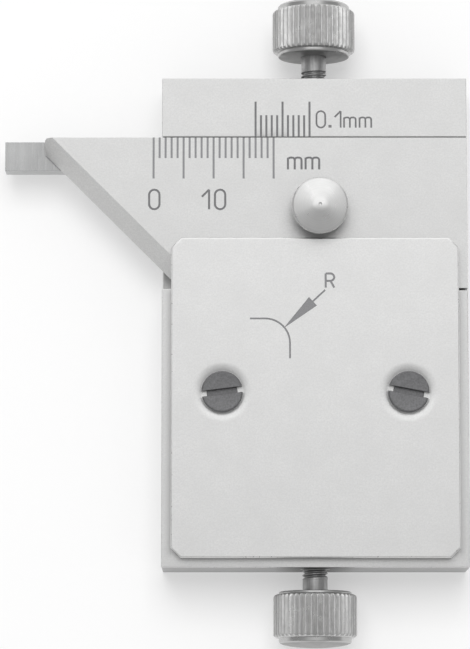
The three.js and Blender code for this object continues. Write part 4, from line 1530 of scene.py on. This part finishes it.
class MakeGuideScrews(bpy.types.Operator):
    """Countersunk screws of the guide strip, seen from the back"""

    bl_idname = "gauge.make_guide_screws"
    bl_label = "Guide strip screws"

    def execute(self, context):
        colours = settings()[1]
        half = GUIDE_SLOT_WIDTH / 2
        for node, turn in GUIDE_TURNS.items():
            low, high, middle = box_of(node)
            head = radius_of(node)
            cone_end = GUIDE_HEAD_SINK + head - GUIDE_SHANK_RADIUS
            profile = [
                (head - GUIDE_EDGE, low.z),
                (head, low.z + GUIDE_EDGE),
                (head, GUIDE_HEAD_SINK),
                (GUIDE_SHANK_RADIUS, cone_end),
                (GUIDE_SHANK_RADIUS, high.z),
            ]
            screw = turned(f"{node}_slotted", profile, BORE_SIDES)
            reach = head + OVERRUN
            carve(screw, block("slot", (-reach, -half, -OVERRUN), (reach, half, cone_end / 2)))
            centre = (middle.x, middle.y, 0)
            place(screw, centre, (0, 0, turn))
            give(screw, black_steel(f"black_{node}", colours.black_steel, centre, turn))
            finish_piece(screw, "frame", [node])
        return {"FINISHED"}


class FinishInnerPieces(bpy.types.Operator):
    """Finishes of the frame's own pieces inside the gauge"""

    bl_idname = "gauge.finish_inner_pieces"
    bl_label = "Inner pieces"

    def execute(self, context):
        colours = settings()[1]
        ground = ground_steel("ground_inner", colours.ground_steel, STREAKS_ALONG_X)
        brass = brass_finish("machined_brass", colours.brass)
        black = black_steel("black_inner", colours.black_steel, button_centre)
        for finish, nodes in (
            (ground, ("arm_guide_strip", *STOP_PINS, *DOWELS, "lower_push_rod")),
            (brass, ("upper_clamp_shoe", "slide_gib_strip")),
            (black, ("button_screw",)),
        ):
            for node in nodes:
                give(frame["nodes"][node], finish)
        return {"FINISHED"}


class MakeStage(bpy.types.Operator):
    """Pale floor, white room, soft key light, grey tent with a bright window, and the camera"""

    bl_idname = "gauge.make_stage"
    bl_label = "Stage"

    def execute(self, context):
        studio = context.scene.gauge_studio
        self.make_floor()
        self.make_room(studio.room_light)
        self.make_key(studio.key_power)
        self.make_tent(studio.window_light)
        self.make_camera(studio)
        context.scene.view_settings.view_transform = "Standard"
        return {"FINISHED"}

    def make_floor(self):
        """White floor that keeps the shadow and can't be seen from below."""
        deselect_all()
        bpy.ops.mesh.primitive_plane_add(size=FLOOR_SIZE)
        floor = place(bpy.context.object, (0, 0, -FLOOR_DROP))
        floor.name = "studio_floor"
        paper = Nodes(bpy.data.materials.new("studio_floor"))
        paper.tree.nodes.clear()
        matt = paper.node("ShaderNodeBsdfDiffuse", {"Color": FLOOR_COLOUR}).outputs[0]
        glow = paper.node("ShaderNodeEmission").outputs[0]
        share = paper.calculate("MULTIPLY", paper.seen_by_camera_or_gloss(), FLOOR_GLOW_SHARE)
        lit = paper.node("ShaderNodeMixShader", {0: share, 1: matt, 2: glow}).outputs[0]
        below = paper.node("ShaderNodeNewGeometry").outputs["Backfacing"]
        clear = paper.node("ShaderNodeBsdfTransparent").outputs[0]
        paper.show(paper.node("ShaderNodeMixShader", {0: below, 1: lit, 2: clear}))
        give(floor, paper)

    def make_room(self, strength):
        world = bpy.data.worlds.new("white_room")
        bpy.context.scene.world = world
        room = Nodes(world)
        background = room.tree.nodes["Background"]
        level = room.ranged(room.seen_by_camera_or_gloss(), strength, 1, 0, 1)
        room.feed(background.inputs["Color"], WHITE)
        room.feed(background.inputs["Strength"], level)

    def make_key(self, power):
        light = bpy.data.lights.new("key_light", "AREA")
        light.size = KEY_SIZE
        light.energy = power
        key = bpy.data.objects.new("key_light", light)
        bpy.context.scene.collection.objects.link(key)
        key.location = KEY_PLACE
        key.rotation_euler = (-KEY_PLACE).to_track_quat("-Z", "Y").to_euler()
        key.visible_camera = False
        key.visible_glossy = False

    def make_tent(self, window_light):
        """Grey tent, open to +Y, with a window overhead. The metal reflects it and nothing else meets it."""
        tent = block("light_tent", TENT_LOW, TENT_HIGH)
        mesh = start_edit(tent, "FACE")
        for face in mesh.faces:
            face.select = face.normal.z < -ALONG_SHARE or face.normal.y > ALONG_SHARE
        mesh.select_flush_mode()
        bmesh.update_edit_mesh(tent.data)
        bpy.ops.mesh.delete(type="FACE")
        end_edit()
        cloth = Nodes(bpy.data.materials.new("light_tent"))
        cloth.tree.nodes.clear()
        x, y, _ = cloth.parts(cloth.node("ShaderNodeTexCoord").outputs["Object"])
        across = cloth.ranged(cloth.calculate("ABSOLUTE", x), 0, 1, *WINDOW_SIDES)
        along = cloth.ranged(y, 0, 1, *WINDOW_NEAR)
        strength = cloth.ranged(cloth.product(across, along), TENT_TONE, window_light, 0, 1)
        cloth.show(cloth.node("ShaderNodeEmission", {"Strength": strength}))
        give(tent, cloth)
        tent.visible_camera = False
        tent.visible_diffuse = False
        tent.visible_shadow = False

    def make_camera(self, studio):
        data = bpy.data.cameras.new("photo_camera")
        camera = bpy.data.objects.new("photo_camera", data)
        bpy.context.scene.collection.objects.link(camera)
        data.lens = studio.lens
        data.sensor_width = SENSOR_WIDTH
        data.clip_start = studio.distance / CLIP_RATIO
        data.clip_end = studio.distance * CLIP_RATIO
        back = Vector((0, -math.cos(studio.elevation), math.sin(studio.elevation)))
        camera.location = CAMERA_AIM + back * studio.distance
        camera.rotation_euler = (-back).to_track_quat("-Z", "Y").to_euler()
        bpy.context.scene.camera = camera


STEPS = (
    MakeStage,
    MakeBody,
    MakeSlide,
    MakeContactArm,
    MakeCoverPlate,
    MakeCoverScrews,
    MakeThumbButton,
    MakeClampKnobs,
    MakeClampStuds,
    MakeGuideScrews,
    FinishInnerPieces,
)


class GaugePanel(bpy.types.Panel):
    """Sizes, finishes and steps of the radius gauge"""

    bl_idname = "GAUGE_PT_panel"
    bl_label = "Radius Gauge"
    bl_space_type = "VIEW_3D"
    bl_region_type = "UI"
    bl_category = "Radius Gauge"

    def draw(self, context):
        scene = context.scene
        for group in (scene.gauge_sizes, scene.gauge_finishes, scene.gauge_studio):
            column = self.layout.column(align=True)
            for name in group.bl_rna.properties.keys():
                if name not in ("rna_type", "name"):
                    column.prop(group, name)
        for step in STEPS:
            self.layout.operator(step.bl_idname)


CLASSES = (GaugeSizes, GaugeFinishes, GaugeStudio, *STEPS, GaugePanel)


def register():
    for item in CLASSES:
        bpy.utils.register_class(item)
    bpy.types.Scene.gauge_sizes = PointerProperty(type=GaugeSizes)
    bpy.types.Scene.gauge_finishes = PointerProperty(type=GaugeFinishes)
    bpy.types.Scene.gauge_studio = PointerProperty(type=GaugeStudio)


def unregister():
    del bpy.types.Scene.gauge_studio
    del bpy.types.Scene.gauge_finishes
    del bpy.types.Scene.gauge_sizes
    for item in reversed(CLASSES):
        bpy.utils.unregister_class(item)


def main():
    register()
    for step in STEPS:
        group, name = step.bl_idname.split(".")
        getattr(getattr(bpy.ops, group), name)()


if __name__ == "__main__":
    main()
